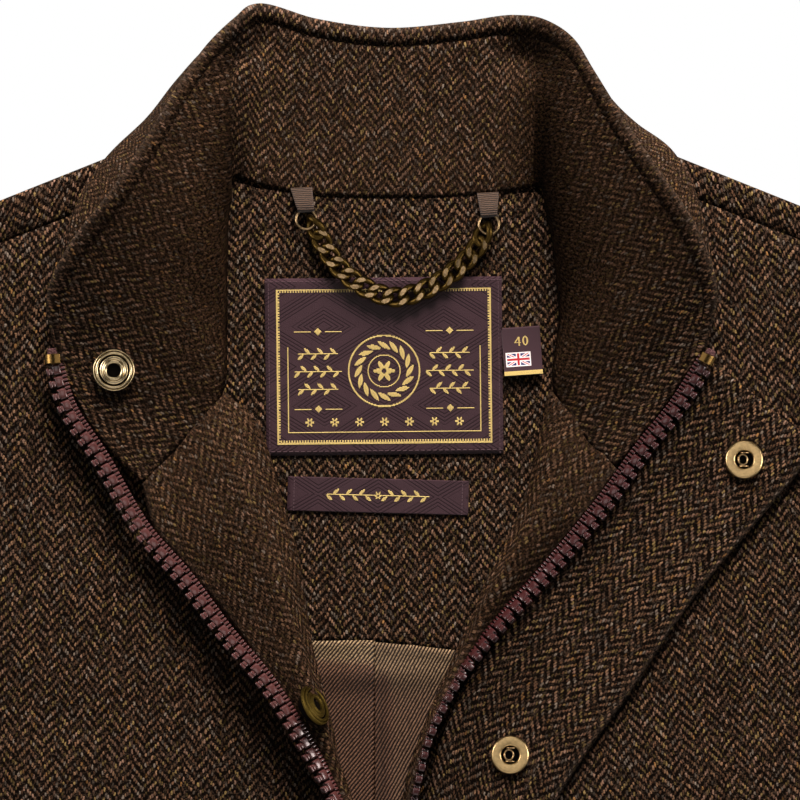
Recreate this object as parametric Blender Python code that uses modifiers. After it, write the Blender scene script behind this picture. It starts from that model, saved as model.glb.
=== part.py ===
"""Tweed vest with a stand collar, lying on its back with its zip half open.

Worked out in millimetres in a drafting frame: the origin is the centre back of the neck seam,
x runs to the wearer's left, y towards the collar and z up from the surface that the vest lies on.
"""
import math
from collections import namedtuple

import bmesh
import bpy
import numpy as np
from mathutils import Matrix, Vector

MM = 0.001

# Driving dimensions of the garment, in millimetres.
HEM_Y = -680.0
COLLAR_TOP_Y = 76.54
ORIGIN_Y = 0.5 * (HEM_Y + COLLAR_TOP_Y)
CLOTH = 1.8
LINING = 1.0
FLAP_WALL = 3.0
LABEL_WALL = 0.5
SEAM_GAP = 0.3
FRONT_TOP_Z = 8.4
ZIP_RADIUS = 2.2
ZIP_SETBACK = 3.4
CLOSED_ZIP_X = ZIP_RADIUS + 0.15
FRONT_EDGE_X = 5.0

# Shoulder: the back wraps forward over it to the shoulder seam.
SHOULDER_NECK = (112.0, 15.2)
SHOULDER_TIP = (215.0, -26.0)
WRAP_RADIUS = 0.5 * (FRONT_TOP_Z - CLOTH)
WRAP_RUN = 13.0
WRAP_ROWS = 5

# Side and armhole of the back, from hem to shoulder tip.
SIDE_SEAM = [(265.0, HEM_Y), (262.0, -580.0), (261.0, -480.0), (264.0, -380.0), (270.0, -281.0)]
ARMHOLE = [(270.0, -281.0), (240.0, -270.0), (214.0, -240.0), (198.0, -192.0), (193.0, -140.0),
           (200.0, -80.0), SHOULDER_TIP]
SIDE_ROWS = 5
ARMHOLE_ROWS = 10

# Back neck edge from the centre to the shoulder: distance from the centre and height of the edge.
BACK_NECK = [(0.0, 0.0), (28.0, 0.8), (50.0, 4.0), (62.0, 7.6), (80.0, 9.6), (98.0, 10.4)]
BACK_COLUMNS = 6

# Back facing, lining and its centre pleat.
FACING_HALF = 104.0
FACING_TOP_Y = 5.4
FACING_SEAM = 2.4
FACING_DROP = -180.0
FACING_DROP_SLOPE = -0.06
LINING_INSET = 44.0
LINING_HEM = 10.0
PLEAT_X = -4.0
PLEAT_WIDTH = 30.0
PLEAT_LIFT = 1.0

# Collar: where its inner layer is sewn to the neck, its top edge, where its outer layer is sewn on,
# and the outer layer's bulge between those two. Distances from the centre, one row for each section.
Collar = namedtuple("Collar", "seam edge base bulge")
COLLAR_CENTRE = Collar((0, 0, 4.3), (0, 66.8, 5.0), (0, 0.8, 0.9), (0, 34, 0.9))
COLLAR = {
    "right": [
        Collar((28, 0.8, 4.3), (28, 70.5, 5.4), (28, 1.6, 0.9), (28, 36, 0.9)),
        Collar((50, 4.8, 4.6), (50.8, 76.2, 9), (50, 5, 0.9), (51, 42, 0.9)),
        Collar((61, 8, 5.6), (62, 69.5, 18), (65, 9, 0.9), (66, 62, 4)),
        Collar((63.5, -10, 7), (79.6, 42.8, 29), (80, 10.8, 0.9), (83, 46, 8)),
        Collar((64, -33, 8), (92.8, 21.2, 33), (95, 12.4, 2.5), (97, 31.5, 11)),
        Collar((64, -50, 8.5), (108, -1.2, 33), (111, 1, 10.6), (113.5, 16, 13.5)),
        Collar((66, -80, 10), (124, -21, 28), (118, -12, 10), (125, -12, 18)),
        Collar((80, -97, 14), (133.5, -42, 21), (117, -45, 10), (128, -40, 15)),
        Collar((96.5, -114.5, 15), (130, -63.5, 17), (113, -84, 10.2), (121, -75, 12)),
    ],
    "left": [
        Collar((30, 0.4, 4.3), (31, 69.2, 5.4), (30, 1.4, 0.9), (30.5, 36, 0.9)),
        Collar((50, 2.4, 4.6), (52, 72.4, 9), (50, 4.8, 0.9), (52, 42, 0.9)),
        Collar((63, 3.6, 5.6), (66, 68.5, 18), (65, 9, 0.9), (70, 63, 4)),
        Collar((67, -13.6, 7), (80, 48, 28), (81, 10.8, 0.9), (84.5, 49, 8)),
        Collar((69.5, -35, 8), (98, 21.2, 33), (96, 12.4, 2.5), (100.5, 29, 11)),
        Collar((70.4, -49.2, 8.5), (110, 4.5, 33), (112, 2, 10.6), (115, 17, 13.5)),
        Collar((68, -77, 10), (124, -17, 28), (119, -10, 10), (125.5, -8, 18)),
        Collar((78, -95, 13.5), (131, -40, 21), (118, -44, 10), (127, -38, 15)),
        Collar((92, -108, 14.5), (126.5, -61.5, 16.5), (112, -80, 10.2), (120, -72, 12)),
    ],
}
COLLAR_COLUMNS = 25
COLLAR_ROWS = 7
COLLAR_SAG = 2.0

# Zip: centre line of each row of teeth, from its top stop to the slider and on to the hem.
ZIP = {
    "right": [(133, -64, 17), (126.8, -84, 16), (114, -104, 15.5), (95.6, -134.8, 16), (80.4, -152, 17),
              (62, -174.4, 19), (46, -192.8, 20.5), (32.4, -214.4, 19.5), (18.4, -241.6, 15.5),
              (9, -262, 11.8), (5.6, -271, 11), (CLOSED_ZIP_X, -285, 11), (CLOSED_ZIP_X, -330, 10)],
    "left": [(129.6, -64.4, 16.5), (116.4, -84.4, 15.5), (103.6, -100.4, 15), (89.6, -120, 15),
             (63.2, -152, 15), (50, -166.4, 16), (39.6, -178.4, 17), (30.4, -191.6, 18),
             (19.5, -216.4, 17.5), (13.5, -241.6, 15), (8.4, -262, 11.8), (5.6, -271, 11),
             (CLOSED_ZIP_X, -285, 11), (CLOSED_ZIP_X, -330, 10)],
}
ZIP_END_Y = HEM_Y + 8.0
ZIP_POINTS = 44

# Facing: where it rolls over the front's edge, the zip point across from there, the crest between.
Facing = namedtuple("Facing", "roll zip crest")
FACING = {
    "right": [
        Facing((64.5, -82.5), (98.5, -119.5, 15.4), 14.8),
        Facing((53, -93), (93.5, -137.5, 16), 18.5),
        Facing((48, -107), (86.5, -145.5, 16.6), 20.5),
        Facing((43, -125), (77, -156.5, 17.3), 21.5),
        Facing((37, -146), (66, -169.5, 18.5), 22),
        Facing((31.5, -167), (53.5, -184, 20), 22),
        Facing((26.4, -191), (40.5, -201, 20.3), 21.5),
        Facing((20, -215.6), (28, -222.5, 18.6), 19.4),
        Facing((14.5, -238.4), (19, -240.5, 15.7), 16),
        Facing((8.5, -260), (10, -260, 12), 12.2),
    ],
    "left": [
        Facing((66.5, -83.5), (94.5, -113, 15), 14.4),
        Facing((63, -102), (84, -127.5, 15), 17.5),
        Facing((58, -122.4), (76, -137, 15), 18.8),
        Facing((49.5, -142.8), (61.5, -153.8, 15.1), 19),
        Facing((41.6, -158), (50.3, -166, 16), 19),
        Facing((34, -173.6), (39.8, -178, 17), 19),
        Facing((27, -188), (31.2, -190.4, 17.9), 18.8),
        Facing((19.5, -208), (22.4, -209.5, 17.7), 18.2),
        Facing((13, -234), (15.3, -234.6, 15.7), 16),
        Facing((8, -260), (9.2, -259.5, 12.2), 12.2),
    ],
}
FACING_TAIL = 14.0
FACING_TAIL_Z = 5.4
FACING_ROLL = 2.2
FACING_ROWS = 16
FRONT_SETBACK = 3.4

# Front's outer edge, across from the neck rows, the facing rows and the rows below the slider.
FRONT_NECK = [(78.0, 1.0), (77.0, -20.0), (77.0, -48.0), (76.0, -74.0)]
FRONT_BELOW_Y = [-292.0, -350.0, -430.0, -510.0, -590.0, HEM_Y]
FRONT_COLUMNS = 10
FRONT_EDGE_DROP = 4.3
FRONT_FOLDS = [  # distance from the centre, height along the front, width, lift
    (150.0, -330.0, 34.0, 1.6), (205.0, -420.0, 30.0, 1.8), (120.0, -520.0, 40.0, 1.4)]

# Placket flap: its edge beside the zip and its free edge.
Flap = namedtuple("Flap", "inner outer")
FLAP = [Flap((132.0, -67.2), (173.6, -100.4)), Flap((107.4, -101.8), (148.8, -129.6)),
        Flap((78.5, -137.0), (121.2, -163.2)), Flap((53.0, -168.5), (98.0, -198.0)),
        Flap((33.5, -193.0), (79.0, -224.4)), Flap((22.6, -216.5), (66.0, -246.0)),
        Flap((16.6, -241.6), (57.5, -272.0)), Flap((11.5, -262.0), (53.0, -300.0)),
        Flap((5.4, -292.0), (52.0, -330.0)), Flap((5.4, -400.0), (52.0, -410.0)),
        Flap((5.4, -540.0), (52.0, -545.0)), Flap((5.4, HEM_Y), (52.0, HEM_Y))]
FLAP_COLUMNS = 6
FLAP_REST_Z = FRONT_TOP_Z + SEAM_GAP + 0.5 * FLAP_WALL + 0.1
FLAP_ZIP_DROP = 2.6

# Snaps: sockets on the flap, eyelets on the turned-out edge, studs on the wearer's right front.
SNAP_SOCKETS = [(143.4, -105.4), (50.0, -223.2), (29.0, -365.0), (29.0, -507.0), (29.0, -649.0)]
SNAP_EYELETS = [(-108.4, -69.6), (-27.8, -202.4)]
SNAP_STUDS = [(-29.0, -365.0), (-29.0, -507.0), (-29.0, -649.0)]
SOCKET_PROFILE = [(3.4, 1.3), (4.2, 2.2), (6.2, 2.4), (7.3, 1.6), (7.5, 0.0), (3.4, 0.0)]
EYELET_LIFT = 0.35
EYELET_PROFILE = [(2.8, 1.2), (3.5, 2.4), (4.8, 1.5), (6.2, 2.1), (7.9, 1.2), (8.4, 0.0), (2.8, 0.0)]
STUD_PROFILE = [(0.0, 4.6), (2.4, 4.4), (3.2, 3.4), (2.9, 2.2), (4.2, 1.8), (6.8, 1.4), (7.5, 0.0),
                (0.0, 0.0)]
SNAP_STEPS = 18
SNAP_LIFT = 0.35

# Labels: centre, size and turn of each.
Label = namedtuple("Label", "name centre size turn_deg columns rows")
LABELS = [Label("main_label", (-0.8, -69.0), (95.0, 71.0), 0.6, 6, 5),
          Label("lower_label", (-2.8, -120.0), (72.6, 13.8), -1.5, 5, 2),
          Label("size_tab", (56.4, -61.6), (15.2, 18.6), 3.5, 2, 2)]
FACING_TOP_Z = CLOTH + SEAM_GAP + 1.5

# Hanger: loops sewn into the neck seam, rings in the loops, and a curb chain between the rings.
RINGS = {"right": (-31.6, -9.2), "left": (41.6, -11.2)}
RING_RADIUS = 3.85
RING_WIRE = 0.65
RING_Z = 6.9
LOOP_WIDTH = 8.8
LOOP_TIP_WIDTH = 5.0
LOOP_WALL = 0.5
CHAIN = [(-30.1, -12.0, 7.0), (-24.0, -18.8, 6.4), (-13.6, -31.4, 6.4), (-1.6, -40.2, 6.7),
         (6.0, -41.4, 6.7), (13.6, -40.0, 6.7), (27.2, -30.2, 6.4), (37.4, -18.9, 6.4), (40.3, -14.0, 7.0)]
CHAIN_LINKS = 15
LINK_LENGTH = 4.0
LINK_WIDTH = 2.35
LINK_WIRE = 0.6
LINK_END_ROLL = 0.25 * math.pi
LINK_ROLL_RUN = 3.0
LINK_POINTS = 14

# Slider and pull tab of the zip, and the box at its lower end.
SLIDER_Y = -277.0
SLIDER_SIZE = (11.0, 16.0, 1.8)
SLIDER_LOWER_WIDTH = 9.4
SLIDER_LOWER_WALL = 1.5
SLIDER_ROUND = 0.6
POST_SIZE = (2.6, 3.4)
POST_INSET = 2.5
STOP_SIZE = (4.2, 4.2, 4.0)
STOP_AHEAD = 2.2
STOP_ROUND = 0.7
BOX_SIZE = (8.8, 7.4, 4.6)
BOX_ABOVE_HEM = 3.85
BOX_Z = 10.2
SLIDER_TOP_Z = 15.4
SLIDER_LOWER_Z = 7.0
PIN_Y = -276.0
PIN_Z = 18.2
PIN_RADIUS = 0.8
LUG_GAP = 4.2
LUG_SIZE = (1.5, 4.6, 4.6)
TAB_LENGTH = 34.0
TAB_WIDTH = 9.0
TAB_WALL = 1.6
TAB_NECK = 3.4
TAB_NECK_LENGTH = 8.0
TAB_ROUND = 0.4
TAB_EYE = 2.35
TAB_HOLE = 1.15
TAB_REST_DEG = 7.8

Finish = namedtuple("Finish", "colour roughness metallic")
FINISHES = {
    "tweed": Finish((0.045, 0.03, 0.02, 1), 0.95, 0.0),
    "tweed_inside": Finish((0.055, 0.038, 0.026, 1), 0.95, 0.0),
    "twill_lining": Finish((0.16, 0.09, 0.055, 1), 0.55, 0.0),
    "woven_label": Finish((0.05, 0.028, 0.03, 1), 0.6, 0.0),
    "grosgrain": Finish((0.19, 0.13, 0.09, 1), 0.7, 0.0),
    "antique_brass": Finish((0.36, 0.25, 0.1, 1), 0.35, 1.0),
    "moulded_zip": Finish((0.07, 0.018, 0.016, 1), 0.35, 0.0),
}


def world(point):
    """Drafting millimetres to the part's metres."""
    x, y, z = point
    return Vector((x * MM, (y - ORIGIN_Y) * MM, z * MM))


def ease(t):
    """Smooth step from 0 to 1."""
    t = np.clip(t, 0.0, 1.0)
    return t * t * (3.0 - 2.0 * t)


def smooth_rows(stops, rows, at):
    """Cubic through the rows, which stand at the stops, read at other stops."""
    stops = np.asarray(stops, float)
    rows = np.asarray(rows, float)
    at = np.asarray(at, float)
    slopes = np.gradient(rows, stops, axis=0)
    low = np.clip(np.searchsorted(stops, at, side="right") - 1, 0, len(stops) - 2)
    span = (stops[low + 1] - stops[low])[:, None]
    t = (at[:, None] - stops[low][:, None]) / span
    start = (2 * t**3 - 3 * t**2 + 1) * rows[low] + (t**3 - 2 * t**2 + t) * span * slopes[low]
    end = (3 * t**2 - 2 * t**3) * rows[low + 1] + (t**3 - t**2) * span * slopes[low + 1]
    return start + end


def along(points, count):
    """Smooth curve through points, as count points evenly spaced along it."""
    points = np.asarray(points, float)
    steps = np.linalg.norm(np.diff(points, axis=0), axis=1)
    run = np.concatenate([[0.0], np.cumsum(steps)])
    return smooth_rows(run, points, np.linspace(0.0, run[-1], count))


def clear_scene():
    """Start from an empty scene."""
    for old in list(bpy.data.objects):
        bpy.data.objects.remove(old, do_unlink=True)


def make_collection(name):
    """Collection in the scene."""
    group = bpy.data.collections.new(name)
    bpy.context.scene.collection.children.link(group)
    return group


def finish_material(name):
    """Principled material of one finish, made once."""
    known = bpy.data.materials.get(name)
    if known:
        return known
    material = bpy.data.materials.new(name)
    material.use_nodes = True
    shader = material.node_tree.nodes["Principled BSDF"]
    shader.inputs["Base Color"].default_value = FINISHES[name].colour
    shader.inputs["Roughness"].default_value = FINISHES[name].roughness
    shader.inputs["Metallic"].default_value = FINISHES[name].metallic
    return material


def add_object(name, data, finish, group):
    """Object with its finish, in a collection."""
    thing = bpy.data.objects.new(name, data)
    if not data.materials:
        data.materials.append(finish_material(finish))
    group.objects.link(thing)
    return thing


def cloth_panel(name, points, wall, finish, group, kept=None):
    """Cloth wall about a grid of middle points (rows, columns, 3), without the faces not kept."""
    rows, columns = points.shape[:2]
    mesh = bpy.data.meshes.new(name)
    shape = bmesh.new()
    bmesh.ops.create_grid(shape, x_segments=columns - 1, y_segments=rows - 1, size=1.0)
    shape.verts.ensure_lookup_table()
    for index, vert in enumerate(shape.verts):
        vert.co = world(points[index // columns, index % columns])
    if kept is not None:
        loose = [face for face in shape.faces
                 if not all(kept[vert.index // columns, vert.index % columns] for vert in face.verts)]
        bmesh.ops.delete(shape, geom=loose, context="FACES")
    shape.to_mesh(mesh)
    shape.free()
    mesh.shade_smooth()
    panel = add_object(name, mesh, finish, group)
    wall_modifier = panel.modifiers.new("cloth wall", "SOLIDIFY")
    wall_modifier.thickness = wall * MM
    wall_modifier.offset = 0.0
    wall_modifier.use_even_offset = True
    return panel


def surface_frame(points, x, y):
    """Point and unit normal of a panel's middle points, under a place in the plan."""
    rows, columns = points.shape[:2]
    gap = np.hypot(points[:, :, 0] - x, points[:, :, 1] - y)
    row, column = np.unravel_index(np.argmin(gap[1:-1, 1:-1]), (rows - 2, columns - 2))
    row += 1
    column += 1
    across = points[row, column + 1] - points[row, column - 1]
    up = points[row + 1, column] - points[row - 1, column]
    normal = np.cross(across, up)
    normal *= np.sign(normal[2]) / np.linalg.norm(normal)
    near = points[row, column]
    z = near[2] - (normal[0] * (x - near[0]) + normal[1] * (y - near[1])) / normal[2]
    return np.array([x, y, z]), normal


def back_edge():
    """Outline of one side of the back, from hem to shoulder tip."""
    side = along(SIDE_SEAM, SIDE_ROWS)
    return np.vstack([side[:-1], along(ARMHOLE, ARMHOLE_ROWS)])


def back_top(x):
    """Height of the back's upper edge: the neck, then the start of the shoulder's fold."""
    fold_start = np.array([SHOULDER_NECK, SHOULDER_TIP]) - (0.0, WRAP_RADIUS + 0.5 * CLOTH)
    rows = np.vstack([BACK_NECK, fold_start])
    return np.interp(np.abs(x), rows[:, 0], rows[:, 1])


def build_back(group):
    """Back panel: flat on the surface, wrapped forward over both shoulders."""
    edge = back_edge()
    neck = np.array([row[0] for row in BACK_NECK])
    shoulder = np.linspace(SHOULDER_NECK[0], SHOULDER_TIP[0], BACK_COLUMNS)
    half = np.concatenate([neck, shoulder]) / SHOULDER_TIP[0]
    across = np.concatenate([-half[:0:-1], half])
    top = back_top(across * SHOULDER_TIP[0])
    tip_y = top[-1]
    rise = ease((edge[:, 1] - ARMHOLE[0][1]) / (SHOULDER_TIP[1] - ARMHOLE[0][1]))
    rows = []
    for (half_width, y), lift in zip(edge, rise):
        height = np.where(lift < 1.0, y + lift * (top - tip_y), top)
        rows.append(np.stack([across * half_width, height, np.full_like(across, 0.5 * CLOTH)], axis=1))
    for step in range(1, WRAP_ROWS + 1):
        turn = math.pi * step / WRAP_ROWS
        y = top + WRAP_RADIUS * math.sin(turn)
        z = np.full_like(across, 0.5 * CLOTH + WRAP_RADIUS * (1.0 - math.cos(turn)))
        rows.append(np.stack([across * SHOULDER_TIP[0], y, z], axis=1))
    run = rows[-1].copy()
    run[:, 1] -= WRAP_RUN
    rows.append(run)
    points = np.array(rows)
    kept = np.ones(points.shape[:2], bool)
    kept[len(edge):, np.abs(across) * SHOULDER_TIP[0] < SHOULDER_NECK[0] - 1.0] = False
    return cloth_panel("back", points, CLOTH, "tweed", group, kept)


def build_back_facing(group):
    """Tweed facing inside the back neck."""
    x = np.linspace(-FACING_HALF, FACING_HALF, 15)
    top = np.minimum(back_top(x), FACING_TOP_Y) - FACING_SEAM
    drop = FACING_DROP + FACING_DROP_SLOPE * x
    z = CLOTH + SEAM_GAP + 0.75
    rows = [np.stack([x, drop + t * (top - drop), np.full_like(x, z)], axis=1) for t in np.linspace(0, 1, 6)]
    return cloth_panel("back_facing", np.array(rows), 1.5, "tweed_inside", group)


def build_back_lining(group):
    """Twill lining below the facing, with a pleat at the centre."""
    edge = back_edge()
    widths = np.interp([HEM_Y, -560.0, -440.0, -330.0, -281.0, -230.0, -190.0], edge[:, 1], edge[:, 0])
    heights = [HEM_Y + LINING_HEM, -560.0, -440.0, -330.0, -281.0, -230.0, None]
    rows = []
    for half_width, height in zip(widths - LINING_INSET, heights):
        pleat = np.array([PLEAT_X - PLEAT_WIDTH, PLEAT_X - 0.8 * PLEAT_WIDTH, PLEAT_X - 0.6, PLEAT_X + 0.6])
        x = np.concatenate([np.linspace(-half_width, -60.0, 4), pleat, np.linspace(30.0, half_width, 5)])
        lift = np.zeros_like(x)
        lift[5:7] = PLEAT_LIFT
        y = FACING_DROP - SEAM_GAP + FACING_DROP_SLOPE * x if height is None else np.full_like(x, height)
        rows.append(np.stack([x, y, CLOTH + SEAM_GAP + 0.5 * LINING + lift], axis=1))
    return cloth_panel("back_lining", np.array(rows), LINING, "twill_lining", group)


def front_rows(side):
    """Inner and outer edge points of one front, from shoulder to hem, as distances from the centre."""
    inner = list(FRONT_NECK)
    for station in FACING[side]:
        roll = np.array(station.roll)
        out = np.array(station.zip[:2]) - roll
        inner.append(tuple(roll + out / np.linalg.norm(out) * FRONT_SETBACK))
    inner += [(FRONT_EDGE_X, y) for y in FRONT_BELOW_Y]
    inner = np.array(inner)
    count = len(inner)
    neck_rows = len(FRONT_NECK) + len(FACING[side]) - 1
    armhole = along(ARMHOLE[::-1], neck_rows)
    seam = np.array(SIDE_SEAM[::-1])
    below = along(seam, count - neck_rows + 1)[1:]
    outer = np.vstack([armhole, below])
    outer[0, 1] -= WRAP_RUN + WRAP_RADIUS + 0.5 * CLOTH + SEAM_GAP
    return inner, outer


def front_points(side, sign):
    """Middle points of one front, columns running to the wearer's left, rows from hem to shoulder."""
    inner, outer = front_rows(side)
    across = np.linspace(0.0, 1.0, FRONT_COLUMNS)
    rows = []
    for index, (near, far) in enumerate(zip(inner, outer)):
        plan = near + across[:, None] * (far - near)
        if index == 0:
            shoulder = np.array([SHOULDER_NECK, SHOULDER_TIP])
            fold = np.interp(plan[:, 0], shoulder[:, 0], shoulder[:, 1])
            seam = fold - WRAP_RUN - WRAP_RADIUS - 0.5 * CLOTH - SEAM_GAP
            plan[:, 1] = np.where(plan[:, 0] < SHOULDER_NECK[0], np.minimum(plan[:, 1], seam), seam)
        drop = FRONT_EDGE_DROP * ease((across - 0.68) / 0.32) * min(1.0, index / 2.0)
        z = FRONT_TOP_Z - 0.5 * CLOTH - drop
        for x0, y0, spread, lift in FRONT_FOLDS:
            away = ((plan[:, 0] - x0) / spread) ** 2 + ((plan[:, 1] - y0) / (3 * spread)) ** 2
            z = z + lift * np.exp(-away)
        row = np.stack([sign * plan[:, 0], plan[:, 1], z], axis=1)
        rows.append(row if sign > 0 else row[::-1])
    return np.array(rows[::-1])


def facing_points(side, sign):
    """Middle points of a facing: tail under the front, roll, crest and zip edge."""
    rows = []
    for station in FACING[side]:
        roll = np.array([*station.roll, 0.0])
        zip_point = np.array(station.zip, float)
        out = zip_point - roll
        out[2] = 0.0
        width = np.linalg.norm(out)
        out /= width
        reach = zip_point - (roll + (0.0, 0.0, FRONT_TOP_Z))
        edge = zip_point - reach / np.linalg.norm(reach) * ZIP_SETBACK
        edge_run = float(np.dot(edge - roll, out))
        crest = min(station.crest, edge[2] + 0.25 * edge_run)
        rise = crest - FRONT_TOP_Z
        profile = [
            (FACING_TAIL, FACING_TAIL_Z), (0.4 * FACING_TAIL, FACING_TAIL_Z), (0.4, FACING_TAIL_Z + 0.1),
            (-FACING_ROLL, FRONT_TOP_Z - 0.6), (-0.7 + 0.06 * edge_run, FRONT_TOP_Z + 0.34 * rise + 0.6),
            (0.3 * edge_run, FRONT_TOP_Z + 0.86 * rise), (0.62 * edge_run, crest), (edge_run, edge[2])]
        curve = along(profile, FACING_ROWS)
        rows.append([roll + out * run + (0.0, 0.0, z) for run, z in curve])
    points = np.array(rows)
    points[:, :, 0] *= sign
    return points


def collar_sections():
    """Collar rows from the wearer's right end to the left end, with signed x."""
    rows = []
    for section in reversed(COLLAR["right"]):
        rows.append([(-x, y, z) for x, y, z in section])
    rows.append(list(COLLAR_CENTRE))
    for section in COLLAR["left"]:
        rows.append(list(section))
    table = np.array(rows, float)
    steps = np.linalg.norm(np.diff(table[:, 1], axis=0), axis=1)
    run = np.concatenate([[0.0], np.cumsum(steps)])
    stops = np.linspace(0.0, run[-1], 2 * COLLAR_COLUMNS - 1)
    return np.stack([smooth_rows(run, table[:, kind], stops) for kind in range(4)], axis=1)


def collar_inner_points(sections):
    """Middle points of the collar's inner layer, from the neck seam to the top edge."""
    across = np.linspace(0.0, 1.0, COLLAR_ROWS)
    rows = []
    for t in across:
        row = sections[:, 0] + t * (sections[:, 1] - sections[:, 0])
        steep = ease((sections[:, 1, 2] - sections[:, 0, 2]) / 12.0)
        row[:, 2] -= 0.5 * CLOTH + COLLAR_SAG * math.sin(math.pi * t) * steep
        rows.append(row)
    return np.array(rows)


def collar_outer_points(sections):
    """Middle points of the collar's outer layer, from its seam over the bulge to the top edge."""
    outward = sections[:, 1, :2] - sections[:, 0, :2]
    outward /= np.linalg.norm(outward, axis=1)[:, None]
    steep = ease((sections[:, 1, 2] - 7.0) / 10.0)[:, None]
    edge = sections[:, 1].copy()
    edge[:, :2] += outward * 1.0 * steep
    edge[:, 2] -= 0.5 * CLOTH + CLOTH + SEAM_GAP + 0.25 * steep[:, 0] * CLOTH
    rows = []
    for t in np.linspace(0.0, 1.0, COLLAR_ROWS):
        base_part = (1 - t) * (1 - 2 * t)
        bulge_part = 4 * t * (1 - t)
        edge_part = t * (2 * t - 1)
        rows.append(base_part * sections[:, 2] + bulge_part * sections[:, 3] + edge_part * edge)
    points = np.array(rows)
    points[:, :, 2] = np.maximum(points[:, :, 2], 0.5 * CLOTH)
    return points


def flap_points():
    """Middle points of the placket flap, from beside the zip to its free edge, lowest row first."""
    zip_rows = np.array(ZIP["left"], float)
    order = np.argsort(zip_rows[:, 1])
    across = np.linspace(0.0, 1.0, FLAP_COLUMNS)
    rows = []
    for station in reversed(FLAP):
        inner = np.array(station.inner)
        outer = np.array(station.outer)
        plan = inner + across[:, None] * (outer - inner)
        zip_z = np.interp(inner[1], zip_rows[order, 1], zip_rows[order, 2])
        raised = max(0.0, zip_z - FLAP_ZIP_DROP - FLAP_REST_Z)
        z = FLAP_REST_Z + raised * (1.0 - ease(across / 0.45))
        rows.append(np.column_stack([plan, z]))
    return np.array(rows)


def build_labels(group):
    """Woven labels on the back facing."""
    z = FACING_TOP_Z + SEAM_GAP + 0.5 * LABEL_WALL
    for label in LABELS:
        turn = math.radians(label.turn_deg)
        rows = []
        for v in np.linspace(-0.5, 0.5, label.rows + 1):
            row = []
            for u in np.linspace(-0.5, 0.5, label.columns + 1):
                x = u * label.size[0]
                y = v * label.size[1]
                row.append((label.centre[0] + x * math.cos(turn) - y * math.sin(turn),
                            label.centre[1] + x * math.sin(turn) + y * math.cos(turn), z))
            rows.append(row)
        cloth_panel(label.name, np.array(rows), LABEL_WALL, "woven_label", group)


def turned_mesh(name, profile, closed):
    """Mesh of a profile to be turned about z."""
    mesh = bpy.data.meshes.new(name)
    shape = bmesh.new()
    verts = [shape.verts.new((radius * MM, 0.0, z * MM)) for radius, z in profile]
    for first, second in zip(verts, verts[1:]):
        shape.edges.new((first, second))
    if closed:
        shape.edges.new((verts[-1], verts[0]))
    shape.to_mesh(mesh)
    shape.free()
    return mesh


def build_snaps(group, flap, collar, right_facing, right_front):
    """Press snaps, each seated on the panel that carries it."""
    sets = [("snap_socket", 1, SNAP_SOCKETS, SOCKET_PROFILE, True, [flap] * 5, 0.5 * FLAP_WALL),
            ("snap_eyelet", 1, SNAP_EYELETS, EYELET_PROFILE, True, [collar, right_facing],
             0.5 * CLOTH + EYELET_LIFT),
            ("snap_stud", 3, SNAP_STUDS, STUD_PROFILE, False, [right_front] * 3, 0.5 * CLOTH)]
    for name, first, places, profile, closed, panels, above in sets:
        mesh = turned_mesh(name, profile, closed)
        for number, ((x, y), panel) in enumerate(zip(places, panels), first):
            point, normal = surface_frame(panel, x, y)
            snap = add_object(f"{name}_{number}", mesh, "antique_brass", group)
            turned = snap.modifiers.new("turned", "SCREW")
            turned.steps = SNAP_STEPS
            turned.render_steps = SNAP_STEPS
            turned.use_merge_vertices = True
            turned.merge_threshold = 0.00005
            seat = world(point + normal * (above + SNAP_LIFT))
            turn = Vector((0.0, 0.0, 1.0)).rotation_difference(Vector(normal)).to_matrix().to_4x4()
            snap.matrix_world = Matrix.Translation(seat) @ turn


def tube(name, points, radius, finish, group, cyclic=False, sides=1):
    """Round wire through points in drafting millimetres."""
    curve = bpy.data.curves.new(name, "CURVE")
    curve.dimensions = "3D"
    curve.bevel_depth = radius * MM
    curve.bevel_resolution = sides
    curve.use_fill_caps = not cyclic
    spline = curve.splines.new("POLY")
    spline.points.add(len(points) - 1)
    for spot, point in zip(spline.points, points):
        spot.co = (*world(point), 1.0)
    spline.use_cyclic_u = cyclic
    return add_object(name, curve, finish, group)


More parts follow.
